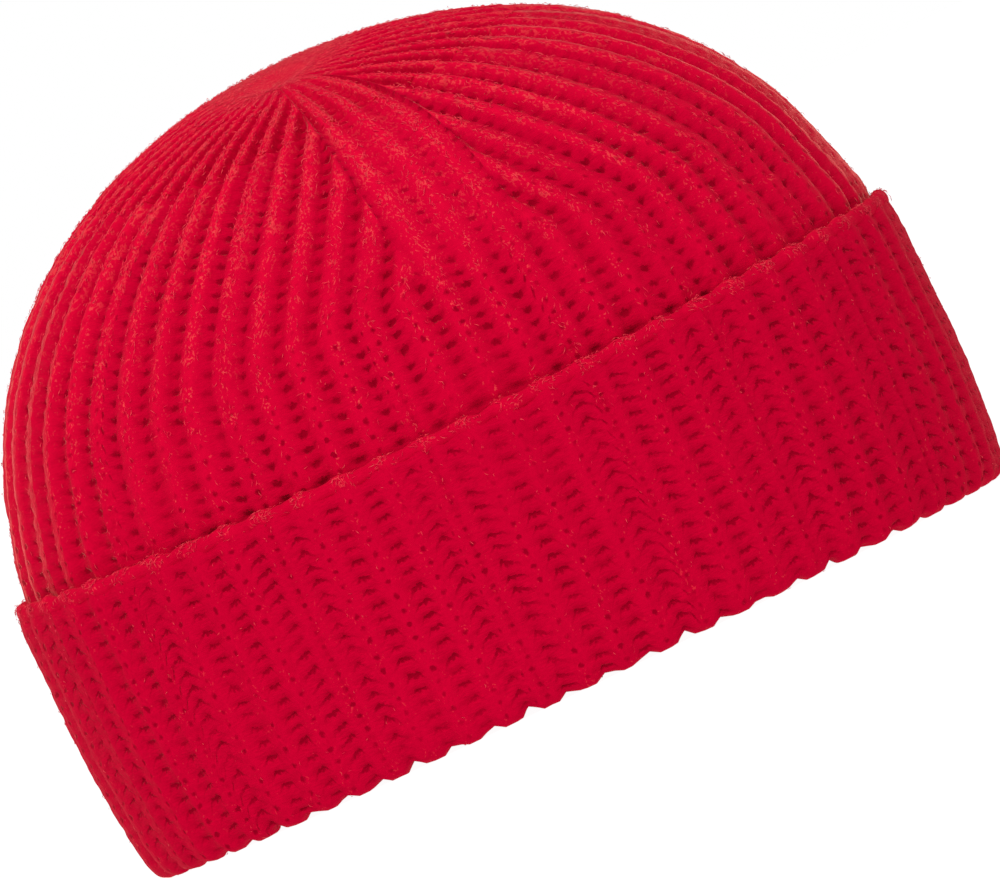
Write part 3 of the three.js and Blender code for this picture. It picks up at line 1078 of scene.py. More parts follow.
@dataclass
class LooseFibres:
    """Short fibres that stand off the yarn, gathered into one mesh.

    Args:
        name: The piece's name.
        form: The surface that they grow on.
        relief: Its stitches.
        seed: Start of the random draws.
        count: Number of fibres.
        rows: First and last row that carries them.
        length: Shortest and longest fibre.
        thickness: Thickness of a fibre at its middle.
        crowd: Relative number of fibres at evenly spaced rows.
        lift: How far a fibre stands off the yarn, as a spread.
        spread: How far they lie from a rib's middle, in rib widths, as a spread.
    """

    name: str
    form: KnitForm
    relief: StitchRelief
    seed: int
    count: int
    rows: Span
    length: Span
    thickness: float
    crowd: tuple[float, ...]
    lift: float = 0.14 * MM
    spread: float = 0.17
    turn_spread: float = 0.7
    bend_spread: float = 0.25
    clearance: float = 0.05 * MM
    rows_ahead: float = 0.3
    least_rib: float = 0.5

    def build(self) -> bpy.types.Object:
        """Strews the fibres."""
        random = np.random.default_rng(self.seed)
        rib, across, row = self.draw_places(random)
        count = len(row)
        form = self.form
        height = self.relief.measure(rib, across, row)["height"]
        root = form.place(rib, across, row, height)
        ahead = form.place(rib, across, row + self.rows_ahead, height) - root
        ahead /= np.maximum(np.linalg.norm(ahead, axis=1, keepdims=True), SHORTEST_STEP)
        normal = form.facing(form.share_of(rib, across, row), row)
        turn = random.normal(0, self.turn_spread, size=(count, 1))
        half = random.uniform(*self.length, size=(count, 1)) / 2
        bend = random.normal(0, self.bend_spread, size=(count, 1)) * half
        stand = np.abs(random.normal(0, self.lift, size=(3, count, 1)))
        radius = self.thickness / 2 * random.uniform(*THICKNESS_RANGE, size=(count, 1))
        tone = random.uniform(0, 1, size=count)
        draws = FibreDraws(turn, half, bend, stand, radius, tone)
        return fibre_piece(self.name, root, ahead, normal, self.clearance, draws)

    def draw_places(self, random: np.random.Generator) -> tuple[np.ndarray, np.ndarray, np.ndarray]:
        """Draws where the fibres grow.

        Args:
            random: The source of the draws.

        Returns:
            Rib numbers, places across the ribs and rows.
        """
        crowd = np.array(self.crowd)
        steps = np.concatenate([[0], np.cumsum((crowd[1:] + crowd[:-1]) / 2)])
        part = np.interp(random.uniform(0, steps[-1], self.count), steps, np.linspace(0, 1, len(crowd)))
        row = self.rows[0] + (self.rows[1] - self.rows[0]) * part
        rib = random.integers(0, self.form.ribs.count, size=self.count)
        across = np.clip(random.normal(0, self.spread, size=self.count), -0.5, 0.5)
        whole = self.form.read(self.form.weights, rib, row) > self.least_rib
        return rib[whole], across[whole], row[whole]


def fibre_piece(
    name: str,
    root: np.ndarray,
    ahead: np.ndarray,
    normal: np.ndarray,
    clearance: float,
    draws: FibreDraws,
) -> bpy.types.Object:
    """Makes each fibre a slim closed spindle with a bend at its middle, shaded as the yarn below it.

    Args:
        name: The piece's name.
        root: The point on the yarn under each fibre.
        ahead: The direction of the yarn at each.
        normal: The direction away from the yarn at each.
        clearance: Least height of a fibre's middle over the yarn.
        draws: How the fibres differ.

    Returns:
        The object, linked to the scene.
    """
    side = np.cross(ahead, normal)
    run = ahead * np.cos(draws.turn) + side * np.sin(draws.turn)
    cross = side * np.cos(draws.turn) - ahead * np.sin(draws.turn)
    middle = root + normal * (draws.stand[0] + clearance) + cross * draws.bend
    start = root - run * draws.half + normal * draws.stand[1] * ROOT_LIFT
    end = root + run * draws.half + normal * draws.stand[2]
    ring = [
        middle + draws.radius * (normal * math.cos(angle) + cross * math.sin(angle))
        for angle in (0.0, FULL_TURN / 3, 2 * FULL_TURN / 3)
    ]
    points = np.stack([start, *ring, end], axis=1)
    corners = points.shape[1]
    faces = np.array([(0, 2, 1), (0, 3, 2), (0, 1, 3), (4, 1, 2), (4, 2, 3), (4, 3, 1)])
    turned = np.einsum("ij,ij->i", np.cross(normal, cross), end - start)[:, None, None] < 0
    first = np.arange(len(points))[:, None, None] * corners
    numbers = np.where(turned, faces[None, :, ::-1], faces[None]) + first
    tones = {"tone": np.repeat(draws.tone, corners)}
    piece = mesh_piece(name, points.reshape(-1, 3), numbers.reshape(-1, 3), tones)
    piece.data.normals_split_custom_set_from_vertices(np.repeat(normal, corners, axis=0).tolist())
    return piece


def mesh_piece(
    name: str, points: np.ndarray, faces: np.ndarray, attributes: dict[str, np.ndarray]
) -> bpy.types.Object:
    """Makes a smooth mesh object of triangles at the origin.

    Args:
        name: The piece's name.
        points: Its vertices.
        faces: Its triangles, as vertex numbers.
        attributes: Values for its vertices by name, one number or three each.

    Returns:
        The object, linked to the scene.
    """
    mesh = bpy.data.meshes.new(name)
    mesh.vertices.add(len(points))
    mesh.vertices.foreach_set("co", points.astype(np.float32).ravel())
    mesh.loops.add(faces.size)
    mesh.loops.foreach_set("vertex_index", faces.astype(np.int32).ravel())
    mesh.polygons.add(len(faces))
    mesh.polygons.foreach_set("loop_start", np.arange(0, faces.size, 3, dtype=np.int32))
    mesh.polygons.foreach_set("use_smooth", np.ones(len(faces), dtype=bool))
    mesh.update(calc_edges=True)
    write_attributes(mesh, attributes)
    piece = bpy.data.objects.new(name, mesh)
    bpy.context.scene.collection.objects.link(piece)
    return piece


class ShaderBench:
    """A material's node tree with short calls for the nodes that the finishes use.

    Args:
        name: The material's name.
    """

    def __init__(self, name: str) -> None:
        self.material = bpy.data.materials.new(name)
        self.material.use_nodes = True
        self.tree = self.material.node_tree
        self.surface = self.tree.nodes["Principled BSDF"]

    def node(self, kind: str, **settings: object) -> bpy.types.Node:
        """Adds a node and sets its settings."""
        made = self.tree.nodes.new(kind)
        for key, value in settings.items():
            setattr(made, key, value)
        return made

    def link(self, source: bpy.types.NodeSocket, target: bpy.types.NodeSocket) -> None:
        """Joins an output to an input."""
        self.tree.links.new(source, target)

    def set(self, name: str, value: float | tuple[float, ...]) -> None:
        """Sets one of the surface shader's inputs."""
        self.surface.inputs[name].default_value = value

    def value(self, name: str) -> bpy.types.NodeSocket:
        """Reads one of the mesh's single values."""
        return self.node("ShaderNodeAttribute", attribute_name=name).outputs["Fac"]

    def vector(self, name: str) -> bpy.types.NodeSocket:
        """Reads one of the mesh's vectors."""
        return self.node("ShaderNodeAttribute", attribute_name=name).outputs["Vector"]

    def noise(
        self, vector: bpy.types.NodeSocket, scale: Stretch | float, detail: float
    ) -> bpy.types.NodeSocket:
        """Adds noise on a vector.

        Args:
            vector: The vector to read.
            scale: Cycles for each metre, the same every way or one for each of its three parts.
            detail: Octaves of the noise.

        Returns:
            The noise's value.
        """
        mapping = self.node("ShaderNodeMapping")
        mapping.inputs["Scale"].default_value = scale if isinstance(scale, tuple) else (scale,) * 3
        noise = self.node("ShaderNodeTexNoise")
        noise.inputs["Scale"].default_value = 1.0
        noise.inputs["Detail"].default_value = detail
        self.link(vector, mapping.inputs["Vector"])
        self.link(mapping.outputs["Vector"], noise.inputs["Vector"])
        return noise.outputs["Fac"]

    def range(self, value: bpy.types.NodeSocket, before: Span, after: Span) -> bpy.types.NodeSocket:
        """Maps a value from one range to another, and holds it there.

        Args:
            value: The value to map.
            before: The range that it comes in.
            after: The range that it leaves in.

        Returns:
            The mapped value.
        """
        mapped = self.node("ShaderNodeMapRange")
        for name, number in zip(("From Min", "From Max", "To Min", "To Max"), (*before, *after)):
            mapped.inputs[name].default_value = number
        self.link(value, mapped.inputs["Value"])
        return mapped.outputs["Result"]

    def fade(
        self, off: bpy.types.NodeSocket, fray: bpy.types.NodeSocket, span: Span
    ) -> bpy.types.NodeSocket:
        """Falls from 1 to 0 while a distance, frayed by a second one, crosses a span."""
        return self.range(self.combine("ADD", off, fray), span, FALL)

    def mix(
        self,
        factor: bpy.types.NodeSocket,
        first: Colour | bpy.types.NodeSocket,
        second: Colour | bpy.types.NodeSocket,
    ) -> bpy.types.NodeSocket:
        """Mixes two colours by a factor.

        Args:
            factor: 0 for the first and 1 for the second.
            first: A colour or a socket that gives one.
            second: A colour or a socket that gives one.

        Returns:
            The mixed colour.
        """
        mixed = self.node("ShaderNodeMix", data_type="RGBA")
        self.link(factor, mixed.inputs[0])
        for socket, colour in ((mixed.inputs[6], first), (mixed.inputs[7], second)):
            if isinstance(colour, tuple):
                socket.default_value = (*colour, 1.0)
            else:
                self.link(colour, socket)
        return mixed.outputs[2]

    def turn(self, vector: bpy.types.NodeSocket, angle: float) -> bpy.types.NodeSocket:
        """Turns a vector in the plane of the cloth."""
        mapping = self.node("ShaderNodeMapping")
        mapping.inputs["Rotation"].default_value = (0.0, 0.0, angle)
        self.link(vector, mapping.inputs["Vector"])
        return mapping.outputs["Vector"]

    def blend(
        self, factor: bpy.types.NodeSocket, first: bpy.types.NodeSocket, second: bpy.types.NodeSocket
    ) -> bpy.types.NodeSocket:
        """Goes from the first value to the second by a factor."""
        mixed = self.node("ShaderNodeMix", data_type="FLOAT")
        for socket, source in zip(mixed.inputs[0:1] + mixed.inputs[2:4], (factor, first, second)):
            self.link(source, socket)
        return mixed.outputs[0]

    def combine(
        self, operation: str, first: bpy.types.NodeSocket, second: bpy.types.NodeSocket | float
    ) -> bpy.types.NodeSocket:
        """Joins two values by an operation of the Math node."""
        made = self.node("ShaderNodeMath", operation=operation)
        self.link(first, made.inputs[0])
        if isinstance(second, float):
            made.inputs[1].default_value = second
        else:
            self.link(second, made.inputs[1])
        return made.outputs["Value"]

    def split(self, name: str) -> list[bpy.types.NodeSocket]:
        """Reads the three parts of one of the mesh's vectors."""
        parts = self.node("ShaderNodeSeparateXYZ")
        self.link(self.vector(name), parts.inputs["Vector"])
        return list(parts.outputs)

    def distance(self, first: bpy.types.NodeSocket, second: bpy.types.NodeSocket) -> bpy.types.NodeSocket:
        """Gives how far a place lies from a point, by its distances in two directions."""
        joined = self.node("ShaderNodeCombineXYZ")
        self.link(first, joined.inputs["X"])
        self.link(second, joined.inputs["Y"])
        length = self.node("ShaderNodeVectorMath", operation="LENGTH")
        self.link(joined.outputs["Vector"], length.inputs[0])
        return length.outputs["Value"]

    def product(
        self, first: bpy.types.NodeSocket, second: bpy.types.NodeSocket | float
    ) -> bpy.types.NodeSocket:
        """Multiplies two values."""
        return self.combine("MULTIPLY", first, second)

    def maximum(self, first: bpy.types.NodeSocket, second: bpy.types.NodeSocket) -> bpy.types.NodeSocket:
        """Gives the larger of two values."""
        return self.combine("MAXIMUM", first, second)

    def bump(self, height: bpy.types.NodeSocket, strength: float, distance: float) -> None:
        """Sets the surface's fine relief from a height."""
        bump = self.node("ShaderNodeBump")
        bump.inputs["Strength"].default_value = strength
        bump.inputs["Distance"].default_value = distance
        self.link(height, bump.inputs["Height"])
        self.link(bump.outputs["Normal"], self.surface.inputs["Normal"])


@dataclass(frozen=True)
class KnitFinish:
    """Matt, fulled wool: soft mottle, fibres along the yarn, pale ones and a painted highlight on the
    crests, and painted shade in the pits, slots and furrows.

    Args:
        name: The material's name.
        deep: Colour of the yarn where it is darkest.
        bright: Colour of the yarn where it is brightest.
        pit: Colour of the painted shade in the pits, the slots and the furrows.
        pale: Colour of the fibres that catch the light.
        fuzz_highlight: Colour of the painted highlight on the crests, which stands in part for the finest
            fibres.
        pale_share: How far the pale fibres cover the yarn, from 0 to 1.
        pale_from: The noise above which a fibre is pale where none blooms.
        pale_gain: How far that falls where the most blooms.
        relief: Depth of the fibres' relief.
    """

    name: str
    deep: Colour
    bright: Colour
    pit: Colour
    pale: Colour
    # A painted highlight, a paler red on the crests that grows towards the tip, standing in part for fine
    # fuzz
    fuzz_highlight: Colour = (0.74, 0.0035, 0.036)
    fuzz_highlight_share: float = 0.6
    # How far the sunk places are darkened with painted shade
    sunk_share: float = 0.26
    pale_share: float = 0.85
    pale_from: float = 0.75
    pale_gain: float = 0.19
    pale_edge: float = 0.065
    sheen: float = 0.15
    sheen_tint: Colour = (1.0, 0.27, 0.24)
    sheen_roughness: float = 0.35
    roughness: float = 1.0
    relief: float = 0.22 * MM
    # The pits and slots drawn in painted shade and bump, given as the distances at which each starts and
    # ends to fade out
    row_pitch: float = 3.6 * MM
    raggedness: float = 0.22 * MM
    pit_round: Span = (0.16 * MM, 0.82 * MM)
    slot_line: Span = (0.14 * MM, 0.50 * MM)
    slot_reach: Span = (1.1 * MM, 2.0 * MM)
    leg_reach: Span = (1.8 * MM, 3.6 * MM)
    leg_share: float = 0.45
    stem_round: Span = (0.0, 0.65 * MM)
    stem_above: float = 0.13
    # How far the mesh's hollows and the drawn marks are darkened with painted shade
    hollow_shade_share: float = 0.1
    mark_shade_share: float = 0.85
    mark_relief: float = 0.6
    # Noises: cycles to the metre, and the angle that the fibres lean to each side of a rib
    mottle_scale: float = 900.0
    drift_scale: float = 30.0
    cluster_scale: float = 260.0
    curl_scale: float = 1400.0
    fray_scale: float = 1500.0
    along_scale: Stretch = (1750.0, 500.0, 1.0)
    across_scale: Stretch = (620.0, 2300.0, 1.0)
    fibre_lean: float = 0.45
    # What the noises and the mesh's values are mapped from and to
    drift_share: float = 0.2
    cluster_shift: Span = (0.08, -0.06)
    wide_noise_span: Span = (0.3, 0.7)
    sunk_span: Span = (0.1, 1.0)
    bloom_span: Span = (0.25, 1.0)
    hollow_shade_span: Span = (0.3, 1.0)

    def marks(self, bench: ShaderBench, ragged: bpy.types.NodeSocket) -> bpy.types.NodeSocket:
        """Draws the pits and the bowed slots between the stitches in painted shade, finer than the mesh can
        show them.

        Args:
            bench: The bench of the material.
            ragged: Noise that frays their edges.

        Returns:
            How much painted shade each place gets, from 0 to 1, which the bump reads as well.
        """
        fray = bench.range(ragged, self.wide_noise_span, (-self.raggedness, self.raggedness))
        pit_off, pit_row, pit_open = bench.split("pit_mark")
        pit_far = bench.distance(pit_off, self.off_row(bench, pit_row))
        pit = bench.product(bench.fade(pit_far, fray, self.pit_round), pit_open)
        slot_off, slot_row, slot_open = bench.split("slot_mark")
        slot_beside = bench.combine("ABSOLUTE", slot_off, 0.0)
        reach = bench.maximum(
            bench.range(slot_beside, self.slot_reach, FALL),
            bench.range(slot_beside, self.leg_reach, (self.leg_share, 0.0)),
        )
        line = bench.fade(self.off_row(bench, slot_row), fray, self.slot_line)
        stem_row = bench.combine("SUBTRACT", slot_row, self.stem_above)
        stem_far = bench.distance(slot_off, self.off_row(bench, stem_row))
        stem = bench.fade(stem_far, fray, self.stem_round)
        slot = bench.product(bench.maximum(bench.product(line, reach), stem), slot_open)
        return bench.range(bench.maximum(pit, slot), UNIT, UNIT)

    def off_row(self, bench: ShaderBench, row: bpy.types.NodeSocket) -> bpy.types.NodeSocket:
        """Gives how far a row lies from the nearest whole one, as a length."""
        return bench.product(bench.combine("PINGPONG", row, HALF_ROW), self.row_pitch)

    def material(self) -> bpy.types.Material:
        """Makes the material."""
        bench = ShaderBench(self.name)
        cloth = bench.vector("cloth")
        crest = bench.value("crest")
        bloom = bench.value("bloom")
        place = bench.node("ShaderNodeTexCoord").outputs["Object"]
        mottle = bench.noise(place, self.mottle_scale, detail=3.0)
        drift = bench.noise(place, self.drift_scale, detail=2.0)
        along = bench.noise(bench.turn(cloth, -self.fibre_lean), self.along_scale, detail=2.0)
        leaning = bench.noise(bench.turn(cloth, self.fibre_lean), self.along_scale, detail=2.0)
        across = bench.noise(cloth, self.across_scale, detail=2.0)
        fibres = bench.blend(crest, across, bench.blend(mottle, along, leaning))
        body = bench.mix(bench.range(fibres, NOISE_SPAN, UNIT), self.deep, self.bright)
        drifted = bench.mix(bench.range(drift, NOISE_SPAN, (0.0, self.drift_share)), body, self.deep)
        # Painted shade in the furrows, the pleats and the low parts of the roll, mixed towards the pit
        # colour
        sunk = bench.range(bench.value("sunk"), self.sunk_span, (0.0, self.sunk_share))
        shaded = bench.mix(sunk, drifted, self.pit)
        # Painted highlight on the crests, stronger towards the tip, in part for fine fuzz
        fuzz_highlight = bench.product(bench.range(bloom, self.bloom_span, (0.0, self.fuzz_highlight_share)), crest)
        fuzz_highlit = bench.mix(fuzz_highlight, shaded, self.fuzz_highlight)
        threshold = bench.range(bloom, UNIT, (self.pale_from, self.pale_from - self.pale_gain))
        clusters = bench.noise(place, self.cluster_scale, detail=1.0)
        clusters = bench.range(clusters, self.wide_noise_span, self.cluster_shift)
        curls = bench.noise(place, self.curl_scale, detail=1.0)
        strokes = bench.maximum(bench.maximum(along, leaning), curls)
        strokes = bench.combine("SUBTRACT", strokes, clusters)
        over = bench.combine("SUBTRACT", strokes, threshold)
        pale = bench.range(over, (0.0, self.pale_edge), (0.0, self.pale_share))
        lit = bench.mix(bench.product(pale, crest), fuzz_highlit, self.pale)
        marks = self.marks(bench, bench.noise(place, self.fray_scale, detail=1.0))
        # Painted shade in the pits and slots, from the mesh's hollows and the drawn marks
        pit_shade = bench.maximum(
            bench.range(bench.value("hollow"), self.hollow_shade_span, (0.0, self.hollow_shade_share)),
            bench.range(marks, UNIT, (0.0, self.mark_shade_share)),
        )
        bench.link(bench.mix(pit_shade, lit, self.pit), bench.surface.inputs["Base Color"])
        grain = bench.blend(mottle, fibres, mottle)
        grain = bench.combine("SUBTRACT", grain, bench.product(marks, self.mark_relief))
        bench.bump(grain, strength=1.0, distance=self.relief)
        bench.set("Roughness", self.roughness)
        bench.set("Specular IOR Level", 0.0)
        bench.set("Sheen Weight", self.sheen)
        bench.set("Sheen Roughness", self.sheen_roughness)
        bench.set("Sheen Tint", (*self.sheen_tint, 1.0))
        return bench.material


@dataclass(frozen=True)
class FibreFinish:
    """Loose fibres that stand off the yarn and catch the light.

    Args:
        name: The material's name.
        colour: Colour of the dullest fibres.
        pale: Colour of the palest fibres.
    """

    name: str
    colour: Colour
    pale: Colour
    tone_span: Span = (0.3, 1.0)
    roughness: float = 0.7
    specular: float = 0.1

    def material(self) -> bpy.types.Material:
        """Makes the material."""
        bench = ShaderBench(self.name)
        shade = bench.mix(bench.range(bench.value("tone"), self.tone_span, UNIT), self.colour, self.pale)
        bench.link(shade, bench.surface.inputs["Base Color"])
        bench.set("Roughness", self.roughness)
        bench.set("Specular IOR Level", self.specular)
        return bench.material


# Each finish's pit colour is the painted shade of its pits, slots and furrows
CROWN_KNIT = KnitFinish(
    name="crown_wool", deep=(0.49, 0.0003, 0.023), bright=(0.59, 0.0006, 0.028),
    pit=(0.25, 0.0, 0.010), pale=(0.73, 0.056, 0.058), pale_gain=0.155, sheen=0.8,
    sheen_tint=(1.0, 0.22, 0.19), sheen_roughness=0.30,
    slot_reach=(0.5 * MM, 1.5 * MM), slot_line=(0.22 * MM, 0.72 * MM), leg_share=0.2,
)
CUFF_KNIT = KnitFinish(
    name="cuff_wool", deep=(0.46, 0.0003, 0.022), bright=(0.56, 0.0004, 0.027),
    pit=(0.24, 0.0, 0.010), pale=(0.70, 0.035, 0.045), pale_share=0.6,
)
EDGE_KNIT = KnitFinish(
    name="edge_wool", deep=(0.50, 0.0004, 0.023), bright=(0.60, 0.001, 0.029),
    pit=(0.25, 0.0, 0.010), pale=(0.76, 0.045, 0.060), pale_gain=0.13, fuzz_highlight_share=0.2,
)
LOOSE_WOOL = FibreFinish(name="loose_fibres", colour=(0.71, 0.010, 0.043), pale=(0.82, 0.062, 0.076))


def dress(
    piece: bpy.types.Object, material: bpy.types.Material, replaces: str | None = None
) -> None:
    """Gives a finished piece its material and tells the frame what it is.

    Args:
        piece: The piece.
        material: Its material.
        replaces: The CAD node that it stands for, if any.
    """
    piece.data.materials.clear()
    piece.data.materials.append(material)
    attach(piece, "root")
    if replaces:
        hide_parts(replaces)
    LOG.info("%s: %d faces", piece.name, len(piece.data.polygons))


def rings_between(first: float, last: float, per_row: float) -> np.ndarray:
    """Spaces rings evenly between two rows, so many to a row."""
    return np.linspace(first, last, max(round(abs(last - first) * per_row), 1) + 1)


def build_knit(pieces: tuple[KnitPiece, ...], finish: KnitFinish, node: str) -> None:
    """Builds and dresses the pieces of one fabric, the first of which stands for its CAD node.

    Args:
        pieces: The pieces.
        finish: Their finish.
        node: The CAD node.
    """
    material = finish.material()
    for number, piece in enumerate(pieces):
        dress(piece.build(), material, node if number == 0 else None)


@dataclass
class Crown:
    """The crown: its wall and lower dome, its middle, its top, and its loose fibres.

    Args:
        form: The crown's surface.
        layer: Thickness of the knit.
    """

    form: CrownForm
    layer: float
    shown_from: float = -1.8
    middle_from: float = 9.5
    top_from: float = 23.5
    rings_per_row: float = 7.0
    top_rings_per_row: float = 6.0
    hidden_rings_per_row: float = 0.6
    arc_height: float = -1.5 * MM
    fulling_spread: float = 0.42
    fibres: int = 19000
    fibres_from: float = -0.8
    bare_rows: float = 1.5
    fibre_length: Span = (0.6 * MM, 1.9 * MM)
    fibre_thickness: float = 0.17 * MM
    fibre_lift: float = 0.20 * MM
    fibre_crowd: tuple[float, ...] = (0.5, 0.4, 0.7, 1.2, 1.8, 2.0, 1.4)

    def build(self) -> None:
        """Builds and dresses every piece of the crown."""
        relief = StitchRelief(
            self.form, seed=11, arc_height=self.arc_height, fulling_spread=self.fulling_spread
        )
        foot, tip = self.form.first_row, self.form.last_row
        wall = rings_between(foot, self.shown_from, self.hidden_rings_per_row)[:-1]
        lower = np.concatenate([wall, rings_between(self.shown_from, self.middle_from, self.rings_per_row)])
        middle = rings_between(self.middle_from, self.top_from, self.rings_per_row)
        top = rings_between(tip, self.top_from, self.top_rings_per_row)
        spare = self.hidden_rings_per_row
        pieces = (
            KnitPiece("crown_lower", self.form, relief, lower,
                      rings_between(self.middle_from, foot, spare), self.layer),
            KnitPiece("crown_middle", self.form, relief, middle,
                      rings_between(self.top_from, self.middle_from, spare), self.layer),
            KnitPiece("crown_top", self.form, relief, top,
                      rings_between(self.top_from, tip, spare), self.layer, capped=True),
        )
        build_knit(pieces, CROWN_KNIT, "crown")
        fibres = LooseFibres(
            "crown_fibres", self.form, relief, seed=31, count=self.fibres,
            rows=(self.fibres_from, tip - self.bare_rows), length=self.fibre_length,
            thickness=self.fibre_thickness, crowd=self.fibre_crowd, lift=self.fibre_lift,
        )
        dress(fibres.build(), LOOSE_WOOL.material())


@dataclass
class Cuff:
    """The cuff: its upper half, its lower half with the fold, and its loose fibres.

    Args:
        form: The cuff's surface.
        layer: Thickness of the knit.
    """

    form: CuffForm
    layer: float
    lower_from: float = 10.0
    rings_per_row: float = 7.0
    hidden_rings_per_row: float = 0.5
    inner_foot: float = 9 * MM
    cut_rows: float = 1.0
    fibres: int = 1200
    bare_rows: float = 2.0
    fibre_length: Span = (0.5 * MM, 1.3 * MM)
    fibre_thickness: float = 0.2 * MM
    fibre_crowd: tuple[float, ...] = (3.0, 1.0, 0.8, 0.7, 0.7, 0.7)

    def build(self) -> None:
        """Builds and dresses every piece of the cuff."""
        relief = StitchRelief(self.form, seed=41)
        last = self.form.last_row - self.cut_rows
        upper = rings_between(0.0, self.lower_from, self.rings_per_row)
        lower = rings_between(self.lower_from, last, self.rings_per_row)
        spare = self.hidden_rings_per_row
        pieces = (
            KnitPiece("cuff_upper", self.form, relief, upper,
                      rings_between(self.lower_from, 0.0, spare), self.layer),
            KnitPiece("cuff_lower", self.form, relief, lower,
                      rings_between(self.form.row_of(self.inner_foot), self.lower_from, spare), self.layer),
        )
        build_knit(pieces, CUFF_KNIT, "cuff")
        fibres = LooseFibres(
            "cuff_fibres", self.form, relief, seed=61, count=self.fibres,
            rows=(0.0, last - self.bare_rows), length=self.fibre_length,
            thickness=self.fibre_thickness, crowd=self.fibre_crowd,
        )
        dress(fibres.build(), LOOSE_WOOL.material())


@dataclass
class CastOnEdge:
    """The rolled edge along the top of the cuff, with an arched lump over each rib and a bloom of fibres.

    Args:
        form: The cuff's surface.
        top: Height of the edge's upper side.
    """

    form: CuffForm
    top: float
    per_rib: int = 14
    rings: int = 18
    inset: float = 2.5 * MM
    half_thickness: float = 1.85 * MM
    half_height: float = 2.4 * MM
    sink: float = 0.8 * MM
    slant: float = 0.09
    unevenness: float = 0.24 * MM
    # What the finish reads: less crest and bloom, so less painted highlight, where the roll lies low, and
    # more painted shade there
    least_fuzz: float = 0.2
    most_bloom: float = 0.8
    sunk_base: float = 0.1
    sunk_depth: float = 2.0 * MM
    # Loose fibres: where they lie over a lump and round the roll, their halves and how they stand
    fibres: int = 1900
    fibre_spread: float = 0.19
    fibre_tube: Span = (0.6, 0.6)
    fibre_half: Span = (0.4 * MM, 0.95 * MM)
    fibre_lift: float = 0.2 * MM
    fibre_bend: float = 0.3
    fibre_radius: float = 0.09 * MM
    clearance: float = 0.08 * MM
    turn_step: float = 1e-4
    lump_seed: int = 71
    fibre_seed: int = 81

    def __post_init__(self) -> None:
        """Draws how each lump differs from the next."""
        lumps = 2 * self.form.ribs.count
        self.draws = np.random.default_rng(self.lump_seed).normal(0, self.unevenness, lumps)

    def build(self) -> None:
        """Builds and dresses every piece of the edge."""
        dress(self.build_roll(), EDGE_KNIT.material(), "cast_on_edge")
        dress(self.build_fibres(), LOOSE_WOOL.material())

    def surface(self, turn: np.ndarray, tube: np.ndarray, proud: np.ndarray) -> np.ndarray:
        """Gives points on the roll.

        Args:
            turn: Shares of the way round.
            tube: Angles round the roll, from outside.
            proud: Heights over the roll's smooth form.

        Returns:
            The points, one to a row.
        """
        inset = self.inset - (self.half_thickness + proud) * np.cos(tube)
        height = self.top - self.half_height + (self.half_height + proud) * np.sin(tube)
        return self.form.points_at(self.form.ribs.oval.angle_at(turn), inset, height)

    def proud_at(self, turn: np.ndarray, tube: np.ndarray) -> np.ndarray:
        """Gives the height of the lumps over the roll's smooth form, which sinks over the furrows."""
        ribs = self.form.ribs
        place = (turn - self.form.middles[0, 0]) * ribs.count + self.slant * np.sin(tube)
        number = np.rint(2 * place).astype(int) % len(self.draws)
        lump = self.draws[number] * np.cos(math.pi * (2 * place - np.rint(2 * place))) ** 2
        return lump - self.sink * np.sin(math.pi * place) ** 2

    def build_roll(self) -> bpy.types.Object:
        """Shapes a torus into the rolled edge."""
        piece = add_torus(self.form.ribs.count * self.per_rib, self.rings)
        piece.name = "cast_on_roll"
        points = read_points(piece.data)
        turn = np.arctan2(points[:, 1], points[:, 0]) / FULL_TURN % 1.0
        tube = np.arctan2(points[:, 2], np.hypot(points[:, 0], points[:, 1]) - START_RADIUS)
        proud = self.proud_at(turn, tube)
        placed = self.surface(turn, tube, proud)
        piece.data.vertices.foreach_set("co", placed.astype(np.float32).ravel())
        girth = self.form.ribs.oval.girth
        none = np.zeros(len(turn))
        no_mark = np.zeros((len(turn), 3))
        marks = {
            "cloth": np.stack([turn * girth, tube * self.half_thickness, none], axis=-1),
            "crest": np.clip(1 + proud / MM, self.least_fuzz, 1),
            "hollow": none,
            "sunk": np.clip(self.sunk_base - proud / self.sunk_depth, 0, 1),
            "bloom": np.clip(1 + proud / MM, self.least_fuzz, self.most_bloom),
            "pit_mark": no_mark,
            "slot_mark": no_mark,
        }
        write_attributes(piece.data, marks)
        finish_shell(piece, girth)
        return piece

    def build_fibres(self) -> bpy.types.Object:
        """Strews loose fibres over the roll, most of them on the lumps."""
        random = np.random.default_rng(self.fibre_seed)
        count = self.fibres
        ribs = self.form.ribs.count
        rib = random.integers(0, ribs, count)
        turn = self.form.middles[0, 0] + (rib + random.normal(0, self.fibre_spread, count)) / ribs
        tube = random.normal(*self.fibre_tube, count)
        root = self.surface(turn, tube, self.proud_at(turn, tube))
        around = self.surface(turn + self.turn_step, tube, self.proud_at(turn, tube)) - root
        around /= np.linalg.norm(around, axis=1, keepdims=True)
        normal = root - self.surface(turn, tube, np.full(count, -self.half_thickness))
        normal /= np.linalg.norm(normal, axis=1, keepdims=True)
        turned = random.uniform(0, math.pi, size=(count, 1))
        half = random.uniform(*self.fibre_half, size=(count, 1))
        stand = np.abs(random.normal(0, self.fibre_lift, size=(3, count, 1)))
        bend = random.normal(0, self.fibre_bend, size=(count, 1)) * half
        radius = self.fibre_radius * random.uniform(*THICKNESS_RANGE, size=(count, 1))
        tone = random.uniform(0, 1, count)
        draws = FibreDraws(turned, half, bend, stand, radius, tone)
        return fibre_piece("edge_fibres", root, around, normal, self.clearance, draws)


